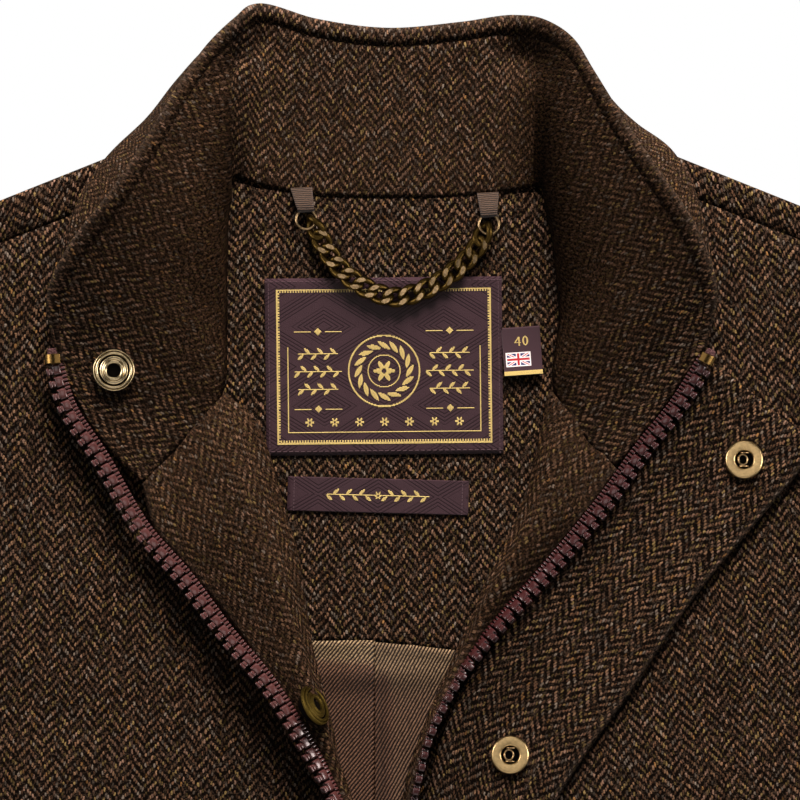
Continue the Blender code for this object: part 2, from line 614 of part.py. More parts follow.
def build_hanger(group):
    """Loops, rings and the curb chain between them."""
    for side, (x, y) in RINGS.items():
        turns = np.linspace(0.0, 2.0 * math.pi, 20, endpoint=False)
        circle = [(x + RING_RADIUS * math.sin(t), y + RING_RADIUS * math.cos(t), RING_Z) for t in turns]
        tube(f"{side}_ring", circle, RING_WIRE, "antique_brass", group, cyclic=True)
        wire_y = y + RING_RADIUS
        bend = RING_WIRE + SEAM_GAP + 0.5 * LOOP_WALL
        top = wire_y + 6.0
        tip = y + math.sqrt(RING_RADIUS**2 - (0.5 * LOOP_TIP_WIDTH) ** 2)
        section = [(top, RING_Z + bend), (wire_y + 2.0, RING_Z + bend)]
        turns = np.linspace(0.0, math.pi, 7)
        section += [(tip - bend * math.sin(t), RING_Z + bend * math.cos(t)) for t in turns]
        section += [(wire_y + 2.0, RING_Z - bend), (top, RING_Z - bend)]
        wide = np.linspace(-0.5, 0.5, 3)
        rows = []
        for row_y, row_z in section:
            width = np.interp(row_y, [wire_y, wire_y + 3.0], [LOOP_TIP_WIDTH, LOOP_WIDTH])
            rows.append([(x + w * width, row_y, row_z) for w in wide])
        cloth_panel(f"{side}_hanger_loop", np.array(rows), LOOP_WALL, "grosgrain", group)
    centres = along(CHAIN, 2 * CHAIN_LINKS + 1)[1::2]
    heading = np.gradient(centres, axis=0)
    for number, (centre, ahead) in enumerate(zip(centres, heading), 1):
        ahead = ahead / np.linalg.norm(ahead)
        aside = np.cross((0.0, 0.0, 1.0), ahead)
        aside /= np.linalg.norm(aside)
        above = np.cross(ahead, aside)
        from_start = 1.0 - (number - 1) / LINK_ROLL_RUN
        from_end = 1.0 - (CHAIN_LINKS - number) / LINK_ROLL_RUN
        roll = LINK_END_ROLL * (max(0.0, from_end) - max(0.0, from_start))
        loop = []
        for t in np.linspace(0.0, 2.0 * math.pi, LINK_POINTS, endpoint=False):
            twist = roll + 0.25 * math.pi * math.cos(t)
            loop.append(centre + LINK_LENGTH * math.cos(t) * ahead
                        + LINK_WIDTH * math.sin(t) * (math.cos(twist) * aside + math.sin(twist) * above))
        tube(f"chain_link_{number:02d}", loop, LINK_WIRE, "antique_brass", group, cyclic=True)


def block(name, centre, size, finish, group):
    """Box with its centre in drafting millimetres."""
    mesh = bpy.data.meshes.new(name)
    shape = bmesh.new()
    bmesh.ops.create_cube(shape, size=1.0)
    bmesh.ops.scale(shape, vec=Vector(size) * MM, verts=shape.verts)
    shape.to_mesh(mesh)
    shape.free()
    thing = add_object(name, mesh, finish, group)
    thing.location = world(centre)
    return thing


def rod(name, centre, radius, length, finish, group):
    """Round bar along x with its centre in drafting millimetres."""
    mesh = bpy.data.meshes.new(name)
    shape = bmesh.new()
    bmesh.ops.create_cone(shape, cap_ends=True, segments=16, radius1=radius * MM, radius2=radius * MM,
                          depth=length * MM, matrix=Matrix.Rotation(math.pi / 2.0, 4, "Y"))
    shape.to_mesh(mesh)
    shape.free()
    thing = add_object(name, mesh, finish, group)
    thing.location = world(centre)
    return thing


def combine(target, tool, operation):
    """Boolean of a hidden tool object on a target."""
    tool.hide_render = True
    tool.display_type = "WIRE"
    cut = target.modifiers.new(tool.name, "BOOLEAN")
    cut.operation = operation
    cut.object = tool


def round_edges(thing, width):
    """Small rounding of a hard piece's edges."""
    bevel = thing.modifiers.new("rounding", "BEVEL")
    bevel.width = width * MM
    bevel.segments = 2
    return bevel


def build_zip(group, tools):
    """Rows of teeth as round bars, top stops, slider with its pull tab, and the lower box."""
    for side, sign in (("right", -1.0), ("left", 1.0)):
        rows = [(sign * x, y, z) for x, y, z in ZIP[side]]
        open_part = along(rows, ZIP_POINTS)
        open_part[:, 0] = sign * np.maximum(sign * open_part[:, 0], CLOSED_ZIP_X)
        closed = [(sign * CLOSED_ZIP_X, y, rows[-1][2]) for y in np.linspace(rows[-1][1], ZIP_END_Y, 6)[1:]]
        path = [tuple(point) for point in open_part] + closed
        tube(f"{side}_zip_chain", path, ZIP_RADIUS, "moulded_zip", group, sides=2)
        first = np.array(path[0])
        ahead = first - np.array(path[1])
        ahead /= np.linalg.norm(ahead)
        stop = block(f"{side}_top_stop", first + ahead * (SEAM_GAP + STOP_AHEAD), STOP_SIZE, "antique_brass",
                     group)
        stop.rotation_euler.z = math.atan2(ahead[1], ahead[0])
        round_edges(stop, STOP_ROUND)
    width, length, wall = SLIDER_SIZE
    slider = block("zip_slider", (0.0, SLIDER_Y, SLIDER_TOP_Z - 0.5 * wall), SLIDER_SIZE, "antique_brass",
                   group)
    round_edges(slider, SLIDER_ROUND)
    post_height = SLIDER_TOP_Z - SLIDER_LOWER_Z - 1.0
    post_y = SLIDER_Y + 0.5 * length - POST_INSET
    pieces = [
        block("slider_lower", (0.0, SLIDER_Y, SLIDER_LOWER_Z + 0.5 * SLIDER_LOWER_WALL),
              (SLIDER_LOWER_WIDTH, length - 1.0, SLIDER_LOWER_WALL), "antique_brass", tools),
        block("slider_post", (0.0, post_y, SLIDER_LOWER_Z + 0.5 + 0.5 * post_height),
              (*POST_SIZE, post_height), "antique_brass", tools)]
    for sign in (-1.0, 1.0):
        lug_x = sign * 0.5 * (LUG_GAP + LUG_SIZE[0])
        pieces.append(block(f"slider_lug_{sign:+.0f}", (lug_x, PIN_Y, SLIDER_TOP_Z - 0.4 + 0.5 * LUG_SIZE[2]),
                            LUG_SIZE, "antique_brass", tools))
    pin_length = LUG_GAP + LUG_SIZE[0]
    pieces.append(rod("slider_pin", (0.0, PIN_Y, PIN_Z), PIN_RADIUS, pin_length, "antique_brass", tools))
    for piece in pieces:
        combine(slider, piece, "UNION")
    hinge = bpy.data.objects.new("pull_tab_hinge", None)
    hinge.location = world((0.0, PIN_Y, PIN_Z))
    group.objects.link(hinge)
    tab = rod("zip_pull_tab", (0.0, PIN_Y, PIN_Z), TAB_EYE, TAB_NECK, "antique_brass", group)
    neck = block("tab_neck", (0.0, PIN_Y - 5.5, PIN_Z), (TAB_NECK - 0.4, TAB_NECK_LENGTH, TAB_WALL + 0.3),
                 "antique_brass", tools)
    plate_length = TAB_LENGTH - TAB_NECK_LENGTH
    plate_y = PIN_Y - TAB_NECK_LENGTH - 0.5 * plate_length
    plate = block("tab_plate", (0.0, plate_y, PIN_Z), (TAB_WIDTH, plate_length, TAB_WALL),
                  "antique_brass", tools)
    hole = rod("tab_hole", (0.0, PIN_Y, PIN_Z), TAB_HOLE, 3.0 * TAB_NECK, "antique_brass", tools)
    round_edges(plate, TAB_ROUND)
    combine(tab, neck, "UNION")
    combine(tab, plate, "UNION")
    combine(tab, hole, "DIFFERENCE")
    for piece in (tab, neck, plate, hole):
        piece.parent = hinge
        piece.location = piece.location - hinge.location
    hinge.rotation_euler.x = math.radians(TAB_REST_DEG)
    box = block("zip_bottom_box", (0.0, HEM_Y + BOX_ABOVE_HEM, BOX_Z), BOX_SIZE, "antique_brass", group)
    round_edges(box, SLIDER_ROUND)


def main():
    clear_scene()
    vest = make_collection("tweed_vest")
    tools = make_collection("tools")
    build_back(vest)
    build_back_facing(vest)
    build_back_lining(vest)
    fronts = {}
    facings = {}
    for side, sign in (("right", -1.0), ("left", 1.0)):
        fronts[side] = front_points(side, sign)
        cloth_panel(f"{side}_front", fronts[side], CLOTH, "tweed", vest)
        facings[side] = facing_points(side, sign)
        cloth_panel(f"{side}_facing", facings[side], CLOTH, "tweed_inside", vest)
    sections = collar_sections()
    inner = collar_inner_points(sections)
    cloth_panel("collar_inner", inner, CLOTH, "tweed_inside", vest)
    cloth_panel("collar_outer", collar_outer_points(sections), CLOTH, "tweed", vest)
    flap = flap_points()
    cloth_panel("placket_flap", flap, FLAP_WALL, "tweed_inside", vest)
    build_labels(vest)
    build_hanger(vest)
    build_zip(vest, tools)
    build_snaps(vest, flap, inner, facings["right"][:, FACING_ROWS // 2:], fronts["right"])


main()
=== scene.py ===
import math
from functools import partial

import bmesh
import bpy
import numpy as np
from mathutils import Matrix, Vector

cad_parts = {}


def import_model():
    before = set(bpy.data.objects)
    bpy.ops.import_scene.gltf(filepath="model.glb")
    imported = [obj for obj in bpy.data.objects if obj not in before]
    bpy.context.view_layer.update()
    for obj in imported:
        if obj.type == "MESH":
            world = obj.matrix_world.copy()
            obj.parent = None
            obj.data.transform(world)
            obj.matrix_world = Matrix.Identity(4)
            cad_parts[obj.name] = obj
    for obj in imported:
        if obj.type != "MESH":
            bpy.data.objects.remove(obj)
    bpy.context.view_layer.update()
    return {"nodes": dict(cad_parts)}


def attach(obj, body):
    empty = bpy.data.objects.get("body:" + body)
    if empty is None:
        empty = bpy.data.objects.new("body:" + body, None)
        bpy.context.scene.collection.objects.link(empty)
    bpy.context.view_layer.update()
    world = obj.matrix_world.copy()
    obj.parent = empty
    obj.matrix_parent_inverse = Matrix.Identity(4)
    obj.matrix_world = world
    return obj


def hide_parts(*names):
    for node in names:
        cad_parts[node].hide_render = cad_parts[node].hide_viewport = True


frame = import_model()
print("frame loaded")

# Drafting millimetres: x to the wearer's left, y to the collar, z up, from the centre back of the neck seam.
originY = -301.73
hemY = -680.0
clothWall = 1.8
clothRest = 0.5 * clothWall  # middle of a sheet that lies on the surface
sides = {"right": -1.0, "left": 1.0}
dice = np.random.default_rng(7)


def world(points):
    return (np.asarray(points, float) - (0.0, originY, 0.0)) * 0.001


def ease(t):
    t = np.clip(t, 0.0, 1.0)
    return t * t * (3.0 - 2.0 * t)


def easeFrom(value, start, run):
    return ease((value - start) / run)


def bell(value, centre, spread):
    return np.exp(-((value - centre) / spread) ** 2)


def smoothRows(stops, rows, at):
    stops, rows, at = (np.asarray(a, float) for a in (stops, rows, at))
    slopes = np.gradient(rows, stops, axis=0)
    low = np.clip(np.searchsorted(stops, at, side="right") - 1, 0, len(stops) - 2)
    shape = (-1,) + (1,) * (rows.ndim - 1)
    span = (stops[low + 1] - stops[low]).reshape(shape)
    t = (at - stops[low]).reshape(shape) / span
    start = (2 * t**3 - 3 * t**2 + 1) * rows[low] + (t**3 - 2 * t**2 + t) * span * slopes[low]
    return start + (3 * t**2 - 2 * t**3) * rows[low + 1] + (t**3 - t**2) * span * slopes[low + 1]


def runs(points, axis=0):
    steps = np.linalg.norm(np.diff(points, axis=axis), axis=-1)
    return np.concatenate([np.zeros_like(np.take(steps, [0], axis)), np.cumsum(steps, axis)], axis)


def along(points, count):
    points = np.asarray(points, float)
    run = runs(points)
    return smoothRows(run, points, np.linspace(0.0, run[-1], count))


def grain(plan, degrees):
    turn = np.radians(degrees)
    x, y = plan[..., 0], plan[..., 1]
    return np.stack([x * np.cos(turn) - y * np.sin(turn), x * np.sin(turn) + y * np.cos(turn)], axis=-1)


def linear(text):
    parts = [int(text[i:i + 2], 16) / 255.0 for i in (1, 3, 5)]
    return tuple(c / 12.92 if c <= 0.04045 else ((c + 0.055) / 1.055) ** 2.4 for c in parts) + (1.0,)


nodeKinds = {  # plain word: Blender's kind, and the settings it is used with
    "vectorTimes": ("VectorMath", {"operation": "MULTIPLY"}), "vectorScale": ("VectorMath", {"operation": "SCALE"}),
    "vectorTimesPlus": ("VectorMath", {"operation": "MULTIPLY_ADD"}),
    "vectorMinus": ("VectorMath", {"operation": "SUBTRACT"}),
    "splitXyz": ("SeparateXYZ", {}), "joinXyz": ("CombineXYZ", {}), "splitColour": ("SeparateColor", {}),
    "weaveUv": ("UVMap", {"uv_map": "weave"}), "place": ("TexCoord", {}), "attribute": ("Attribute", {}),
    "noise": ("TexNoise", {}), "flatNoise": ("TexNoise", {"noise_dimensions": "2D"}), "voronoi": ("TexVoronoi", {}),
    "whiteNoise": ("TexWhiteNoise", {"noise_dimensions": "2D"}), "mix": ("Mix", {"data_type": "RGBA"}),
    "span": ("MapRange", {}), "softSpan": ("MapRange", {"interpolation_type": "SMOOTHSTEP"}), "ramp": ("ValToRGB", {}),
    "bump": ("Bump", {}), "bsdf": ("BsdfPrincipled", {}), "glow": ("Emission", {}), "output": ("OutputMaterial", {}),
}
sums = {"times": "MULTIPLY", "timesPlus": "MULTIPLY_ADD", "plus": "ADD", "minus": "SUBTRACT", "over": "DIVIDE",
        "modulo": "FLOORED_MODULO", "roundDown": "FLOOR", "fraction": "FRACT", "absolute": "ABSOLUTE",
        "larger": "MAXIMUM", "sine": "SINE", "pingPong": "PINGPONG"}
for word, operation in sums.items():
    nodeKinds[word] = ("Math", {"operation": operation})


def addNode(tree, kind, inputs, **settings):
    blenderKind, usual = nodeKinds[kind]
    fresh = tree.nodes.new("ShaderNode" + blenderKind)
    for key, value in {**usual, **settings}.items():
        setattr(fresh, key, value)
    for socket, value in inputs.items():
        if isinstance(value, bpy.types.NodeSocket):
            tree.links.new(value, fresh.inputs[socket])
        else:
            fresh.inputs[socket].default_value = linear(value) if isinstance(value, str) else value
    return fresh.outputs


def newMaterial(name):
    material = bpy.data.materials.new(name)
    material.use_nodes = True
    material.node_tree.nodes.clear()
    return material, partial(addNode, material.node_tree)


def setRamp(socket, stops, interpolation="LINEAR"):
    band = socket.node.color_ramp
    band.interpolation = interpolation
    for index, (place, colour) in enumerate(stops):
        stop = band.elements[index] if index < 2 else band.elements.new(place)
        stop.position = place
        stop.color = linear(colour)


# Herringbone tweed: light mottled warp floats over a near-black weft, so it reads as lines of small dashes.
tweedLook = {
    # the weave, in mm and in threads
    "endWidth": 0.856, "pickHeight": 0.975, "columnEnds": 6, "floatPicks": 4.0, "wavyMm": 0.6, "crookedMm": 0.3,
    "middle": 1.8, "stray": 0.65, "tight": (-1.2, -0.6), "round": -3.0, "bumpMm": 0.3,
    # noises, in waves for each mm
    "wavy": 0.11, "crooked": 0.9, "slub": 0.22, "curl": 0.42, "fluff": 1.6, "grit": 1.05, "fibre": (1.8, 1.5, 1.0),
    # wool, weft and nap
    "weft": "#060403", "weftLight": "#130d09", "napColour": "#75675a", "hair": "#7d6a58", "hairShare": 0.22,
    "yarns": [(0.0, "#947358"), (0.34, "#907a4e"), (0.52, "#967763"), (0.68, "#8b7e70"), (0.82, "#7d5d47"),
              (0.97, "#a67b4c")],
    "shades": [(0.2, "#333333"), (0.5, "#868686"), (0.75, "#bcbcbc"), (1.0, "#ffffff")],
    # matted wool, and painted shade, where the felt mask is set
    "feltLoose": 0.7, "feltDark": "#060403", "feltOlive": "#665233", "feltRose": "#704f40", "feltPaintedShade": "#6c6c6c",
}
tweed, add = newMaterial("herringbone tweed")
look = tweedLook
uv = add("weaveUv", {})[0]
drift = {}
for name in ("wavy", "crooked"):
    drift[name] = add("flatNoise", {"Vector": uv, "Scale": look[name], "Detail": 1.0})["Color"]
    drift[name] = add("vectorMinus", {0: drift[name], 1: (0.5, 0.5, 0.5)})[0]
feltAndShade = add("attribute", {}, attribute_name="feltAndShade")["Fac"]
loose = add("timesPlus", {0: feltAndShade, 1: look["feltLoose"], 2: 1.0})[0]
crooked = add("vectorScale", {0: drift["crooked"], "Scale": loose})[0]
moved = add("vectorTimesPlus", {0: drift["wavy"], 1: (2.0 * look["wavyMm"],) * 3, 2: uv})[0]
moved = add("vectorTimesPlus", {0: crooked, 1: (2.0 * look["crookedMm"],) * 3, 2: moved})[0]
u, v = add("splitXyz", {0: moved})[:2]
end = add("over", {0: u, 1: look["endWidth"]})[0]
endId = add("roundDown", {0: end})[0]
across = add("fraction", {0: end})[0]
inColumn = add("modulo", {0: endId, 1: look["columnEnds"]})[0]
column = add("over", {0: endId, 1: look["columnEnds"]})[0]
column = add("roundDown", {0: column})[0]
odd = add("modulo", {0: column, 1: 2.0})[0]
turn = add("timesPlus", {0: inColumn, 1: -2.0, 2: look["columnEnds"] + 1.0})[0]
step = add("timesPlus", {0: turn, 1: odd, 2: inColumn})[0]
pick = add("over", {0: v, 1: look["pickHeight"]})[0]
lift = add("plus", {0: pick, 1: step})[0]
phase = add("modulo", {0: lift, 1: look["floatPicks"]})[0]
floatId = add("over", {0: lift, 1: look["floatPicks"]})[0]
floatId = add("roundDown", {0: floatId})[0]
cell = add("joinXyz", {0: endId, 1: floatId})[0]
fate = add("whiteNoise", {"Vector": cell})
stray, hue, grow = add("splitColour", {0: fate["Color"]})[:3]
early, late = look["middle"] - 0.5 * look["stray"], look["middle"] + 0.5 * look["stray"]
middle = add("span", {0: stray, 3: early, 4: late})[0]
fromMiddle = add("minus", {0: phase, 1: middle})[0]
fromMiddle = add("times", {0: fromMiddle, 1: fromMiddle})[0]
tight = add("span", {0: grow, 3: look["tight"][0], 4: look["tight"][1]})[0]
lengthwise = add("timesPlus", {0: fromMiddle, 1: tight, 2: 1.0}, use_clamp=True)[0]
fromAxis = add("minus", {0: across, 1: 0.5})[0]
fromAxis = add("times", {0: fromAxis, 1: fromAxis})[0]
crosswise = add("timesPlus", {0: fromAxis, 1: look["round"], 2: 1.0}, use_clamp=True)[0]
height = add("times", {0: lengthwise, 1: crosswise})[0]
combed = add("vectorTimes", {0: moved, 1: look["fibre"]})[0]
fibre = add("flatNoise", {"Vector": combed, "Scale": 1.0, "Detail": 2.0, "Roughness": 0.8})[0]
fibre = add("span", {0: fibre, 1: 0.3, 2: 0.7, 3: 0.3, 4: 1.75})[0]
height = add("times", {0: height, 1: fibre})[0]
slub = add("flatNoise", {"Vector": moved, "Scale": look["slub"], "Detail": 3.0, "Roughness": 0.7})[0]
shade = add("times", {0: fate["Value"], 1: 0.55})[0]
shade = add("timesPlus", {0: slub, 1: 0.75, 2: shade})[0]
shade = add("ramp", {0: shade})[0]
setRamp(shade, look["shades"])
yarn = add("ramp", {0: hue})[0]
setRamp(yarn, look["yarns"], "CONSTANT")
yarn = add("mix", {0: 1.0, 6: yarn, 7: shade}, blend_type="MULTIPLY")[2]
weft = add("mix", {0: slub, 6: look["weft"], 7: look["weftLight"]})[2]
shows = add("softSpan", {0: height, 1: 0.2, 2: 0.72})[0]
cloth = add("mix", {0: shows, 6: weft, 7: yarn})[2]
# stray hairs are the level lines of a slow noise
curl = add("flatNoise", {"Vector": uv, "Scale": look["curl"], "Detail": 2.0})[0]
curl = add("minus", {0: curl, 1: 0.5})[0]
curl = add("absolute", {0: curl})[0]
curl = add("span", {0: curl, 1: 0.006, 2: 0.026, 3: look["hairShare"], 4: 0.0})[0]
cloth = add("mix", {0: curl, 6: cloth, 7: look["hair"]})[2]
nap = add("attribute", {}, attribute_name="nap")["Fac"]
fluff = add("flatNoise", {"Vector": uv, "Scale": look["fluff"], "Detail": 2.0})[0]
fluff = add("span", {0: fluff, 1: 0.36, 2: 0.66})[0]
napHere = add("times", {0: nap, 1: fluff})[0]
cloth = add("mix", {0: napHere, 6: cloth, 7: look["napColour"]})[2]
# gritty olive and rose where the wool is matted
grit = add("flatNoise", {"Vector": uv, "Scale": look["grit"], "Detail": 3.0, "Roughness": 0.75})[0]
grit = add("span", {0: grit, 1: 0.42, 2: 0.68})[0]
matted = add("mix", {0: fluff, 6: look["feltOlive"], 7: look["feltRose"]})[2]
matted = add("mix", {0: grit, 6: look["feltDark"], 7: matted})[2]
cloth = add("mix", {0: feltAndShade, 6: cloth, 7: matted})[2]
# painted shade: the felt mask also multiplies the cloth darker
cloth = add("mix", {0: feltAndShade, 6: cloth, 7: look["feltPaintedShade"]}, blend_type="MULTIPLY")[2]
relief = add("bump", {"Strength": 0.5, "Distance": look["bumpMm"] * 0.001, "Height": height})[0]
shader = add("bsdf", {"Base Color": cloth, "Roughness": 0.95, "Specular IOR Level": 0.02, "Normal": relief})[0]
add("output", {0: shader})
print("tweed made")


def ownPiece(name, mesh, material, nodes=()):
    mesh.materials.append(material)
    piece = bpy.data.objects.new(name, mesh)
    bpy.context.scene.collection.objects.link(piece)
    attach(piece, "vest")
    if nodes:
        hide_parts(*nodes)
    return piece


def gridFaces(rows, columns):
    index = np.arange(rows * columns).reshape(rows, columns)
    return np.stack([index[:-1, :-1], index[:-1, 1:], index[1:, 1:], index[1:, :-1]], axis=-1).reshape(-1, 4)


# masks are dictionaries of one value for each point, kept leaves out what isn't cut
def layCloth(name, points, weave, wall, material, nodes, masks=None, kept=None):
    faces = gridFaces(*points.shape[:2])
    if kept is not None:
        faces = faces[kept.reshape(-1)[faces].all(axis=1)]
    mesh = bpy.data.meshes.new(name)
    mesh.from_pydata(world(points).reshape(-1, 3).tolist(), [], faces.tolist())
    layer = mesh.uv_layers.new(name="weave")
    layer.data.foreach_set("uv", weave.reshape(-1, 2)[faces.reshape(-1)].astype(np.float32).reshape(-1))
    for mask, values in (masks or {}).items():
        attribute = mesh.attributes.new(mask, "FLOAT", "POINT")
        attribute.data.foreach_set("value", values.reshape(-1).astype(np.float32))
    used = bmesh.new()
    used.from_mesh(mesh)
    bmesh.ops.delete(used, geom=[vert for vert in used.verts if not vert.link_faces], context="VERTS")
    used.to_mesh(mesh)
    used.free()
    mesh.shade_smooth()
    piece = ownPiece(name, mesh, material, nodes)
    shell = piece.modifiers.new("cloth wall", "SOLIDIFY")
    shell.thickness = wall * 0.001
    shell.offset = 0.0
    shell.use_even_offset = True
    return piece


# Back: flat on the surface, wrapped forward over the shoulders to their seams.
back = {
    "shoulder": [(112.0, 15.2), (215.0, -26.0)], "wrapRadius": 3.3, "wrapRun": 13.0, "columns": 44,
    "wrapRows": 12, "seamDip": 1.3,
    "leftLift": 2.7, "leftShort": 3.6, "leftFrom": (98.0, 14.0), "leftTo": (172.0, 40.0),  # the left side lies higher
    "side": [(265.0, hemY), (262.0, -580.0), (261.0, -480.0), (264.0, -380.0), (270.0, -281.0)],
    "armhole": [(270.0, -281.0), (240.0, -270.0), (214.0, -240.0), (198.0, -192.0), (193.0, -140.0), (200.0, -80.0),
                (215.0, -26.0)],
    "neck": [(0.0, 2.2), (28.0, 3.0), (50.0, 6.4), (62.0, 9.6), (80.0, 10.8), (98.0, 10.9)],
}
backEdge = np.vstack([along(back["side"], 24)[:-1], along(back["armhole"], 30)])
shoulder = np.array(back["shoulder"])


def leftHigh(x):
    (start, startRun), (end, endRun) = back["leftFrom"], back["leftTo"]
    return ease((x - start) / startRun) * (1.0 - ease((x - end) / endRun))


def backTop(x):
    rows = np.vstack([back["neck"], shoulder - (0.0, back["wrapRadius"] + clothRest)])
    return np.interp(np.abs(x), rows[:, 0], rows[:, 1]) + back["leftLift"] * leftHigh(x)


def wrapEnd(x):
    return backTop(x) - back["wrapRun"] + back["leftShort"] * leftHigh(x)


tipX = shoulder[1, 0]
half = np.concatenate([np.linspace(0.0, 108.0, 28), np.linspace(shoulder[0, 0], tipX, back["columns"])]) / tipX
wide = np.concatenate([-half[:0:-1], half])
top = backTop(wide * tipX)
armFoot = back["armhole"][0][1]
rise = ease((backEdge[:, 1] - armFoot) / (shoulder[1, 1] - armFoot))
rows = []
for (halfWidth, y), raised in zip(backEdge, rise):
    height = np.where(raised < 1.0, y + raised * (top - top[-1]), top)
    rows.append(np.stack([wide * halfWidth, height, np.full_like(wide, clothRest)], axis=1))
for turned in np.linspace(0.0, math.pi, back["wrapRows"] + 1)[1:]:
    y = top + back["wrapRadius"] * math.sin(turned)
    z = np.full_like(wide, clothRest + back["wrapRadius"] * (1.0 - math.cos(turned)))
    rows.append(np.stack([wide * tipX, y, z], axis=1))
wrapped = rows[-1]
for run in np.linspace(0.0, 1.0, 9)[1:]:
    row = wrapped.copy()
    row[:, 1] += run * (wrapEnd(wide * tipX) - top)
    row[:, 2] -= back["seamDip"] * bell(run, 1.05, 0.2)
    rows.append(row)
points = np.array(rows)
kept = np.ones(points.shape[:2], bool)
kept[len(backEdge):, np.abs(wide) * tipX < shoulder[0, 0] - 1.0] = False
weave = np.stack([points[:, :, 0], runs(points)], axis=-1)
piece = layCloth("back_cloth", points, weave, clothWall, tweed, ["back"], kept=kept)
print("back laid")

# Back facing of tweed, and the pleated twill lining below it.
facing = {
    "half": 104.0, "top": 5.4, "cornerLift": 5.4, "cornerFrom": (50.0, 11.0), "seam": 2.4, "wall": 1.5, "z": 2.85,
    "drop": -180.8, "slope": -0.06, "arch": 2.0, "archAt": (-4.0, 20.0), "hemDip": 0.12,
    "ripple": 0.25, "rippleAt": (30.0, 9.0),
}
x = np.linspace(-facing["half"], facing["half"], 84)
cornerX, cornerRun = facing["cornerFrom"]
top = facing["top"] + facing["cornerLift"] * ease((-x - cornerX) / cornerRun)
top = np.minimum(backTop(x), top) - facing["seam"]
drop = facing["drop"] + facing["slope"] * x + facing["arch"] * bell(x, *facing["archAt"])
rows = []
for t in np.linspace(0.0, 1.0, 90):
    z = facing["z"] - facing["hemDip"] * bell(t, 0.0, 0.012)
    rows.append(np.stack([x, drop + t * (top - drop), np.full_like(x, z)], axis=1))
points = np.array(rows)
points[:, :, 2] += facing["ripple"] * bell(points[:, :, 0] + 0.25 * points[:, :, 1], *facing["rippleAt"])
piece = layCloth("back_facing_cloth", points, points[:, :, :2] + (2.1, 0.0), facing["wall"], tweed,
                 ["back_facing"])


def wavyRibs(add, perMm, ribMm):
    uv = add("weaveUv", {})[0]
    wavy = add("flatNoise", {"Vector": uv, "Scale": perMm, "Detail": 2.0})[0]
    v = add("splitXyz", {0: uv})[1]
    v = add("timesPlus", {0: wavy, 1: 0.5, 2: v})[0]
    rib = add("times", {0: v, 1: math.tau / ribMm})[0]
    return uv, add("sine", {0: rib})[0]


# Twill lining: fine slanted ribs with a silky streak of light.
twillLook = {"ribMm": 1.24, "bumpMm": 0.12,
             "wavy": 0.25, "threads": 2.2, "beads": (1.7, 0.9, 1.0),  # waves for each mm
             "light": "#664a3f", "dark": "#0f0907", "streak": "#6e563f", "sheen": "#948062"}
twill, add = newMaterial("viscose twill")
uv, rib = wavyRibs(add, twillLook["wavy"], twillLook["ribMm"])
shows = add("softSpan", {0: rib, 1: -0.6, 2: 0.75})[0]
threads = add("flatNoise", {"Vector": uv, "Scale": twillLook["threads"], "Detail": 2.0})[0]
lit = add("mix", {0: threads, 6: twillLook["light"], 7: twillLook["streak"]})[2]
sheen = add("attribute", {}, attribute_name="sheen")["Fac"]
golden = add("larger", {0: sheen, 1: 0.0})[0]
lit = add("mix", {0: golden, 6: lit, 7: twillLook["sheen"]})[2]
# small beads of cross yarn break up the ribs, and the sheen mask below zero shades them
beads = add("vectorTimes", {0: uv, 1: twillLook["beads"]})[0]
beads = add("flatNoise", {"Vector": beads, "Scale": 1.0, "Detail": 1.0})[0]
beads = add("span", {0: beads, 1: 0.3, 2: 0.7, 3: 0.45, 4: 1.3})[0]
shadow = add("span", {0: sheen, 1: -1.0, 2: 0.0, 3: 0.45, 4: 1.0})[0]
beads = add("times", {0: beads, 1: shadow})[0]
shows = add("times", {0: shows, 1: beads})[0]
cloth = add("mix", {0: shows, 6: twillLook["dark"], 7: lit}, clamp_factor=False)[2]
relief = add("bump", {"Strength": 0.6, "Distance": twillLook["bumpMm"] * 0.001, "Height": rib})[0]
shader = add("bsdf", {"Base Color": cloth, "Roughness": 0.5, "Specular IOR Level": 0.2, "Normal": relief})[0]
add("output", {0: shader})

# Lining with a centre pleat: the wearer's right side folds over the left one.
lining = {
    "inset": 44.0, "hem": 10.0, "fineFrom": -240.0, "top": -180.3, "dipFrom": (-260.0, 79.0), "wall": 0.5, "z": 2.5,
    "sideColumns": (13, 19), "zeroColumn": 60, "foldColumn": 64, "rightSlant": 51.0, "leftSlant": 61.0,
    "pleat": [(-70.0, 2.5), (-40.0, 2.6), (-22.0, 3.1), (-8.0, 3.45), (-4.4, 3.4), (-3.7, 3.1), (-4.4, 2.85),
              (-9.0, 2.7), (-13.0, 2.5), (-12.0, 2.35), (-6.0, 2.35), (8.0, 2.4), (30.0, 2.5)], "pleatShift": -0.6,
    "crease": 0.35, "creaseAt": (-212.0, 9.0), "tuck": 0.8, "tuckFrom": (-187.0, 6.0),
    "swell": {"right": 2.2, "left": 1.2}, "swellY": (-191.0, 6.0), "swellX": (0.0, 32.0),
    "rightSheen": (-189.5, 4.5), "leftSheen": (-205.0, 22.0), "leftLeast": 0.14, "leftMore": 0.6,
    "foldShade": 0.8, "foldAt": (-1.2, 2.6), "foldFrom": (-188.0, 8.0),
}
pleat = along(lining["pleat"], 90)
pleat[:, 0] += lining["pleatShift"] * bell(pleat[:, 0], *facing["archAt"])
heights = np.concatenate([np.linspace(hemY + lining["hem"], lining["fineFrom"], 36)[:-1],
                          np.linspace(lining["fineFrom"], lining["top"], 30)])
order = np.argsort(backEdge[:, 1])
rightColumns, leftColumns = lining["sideColumns"]
rows = []
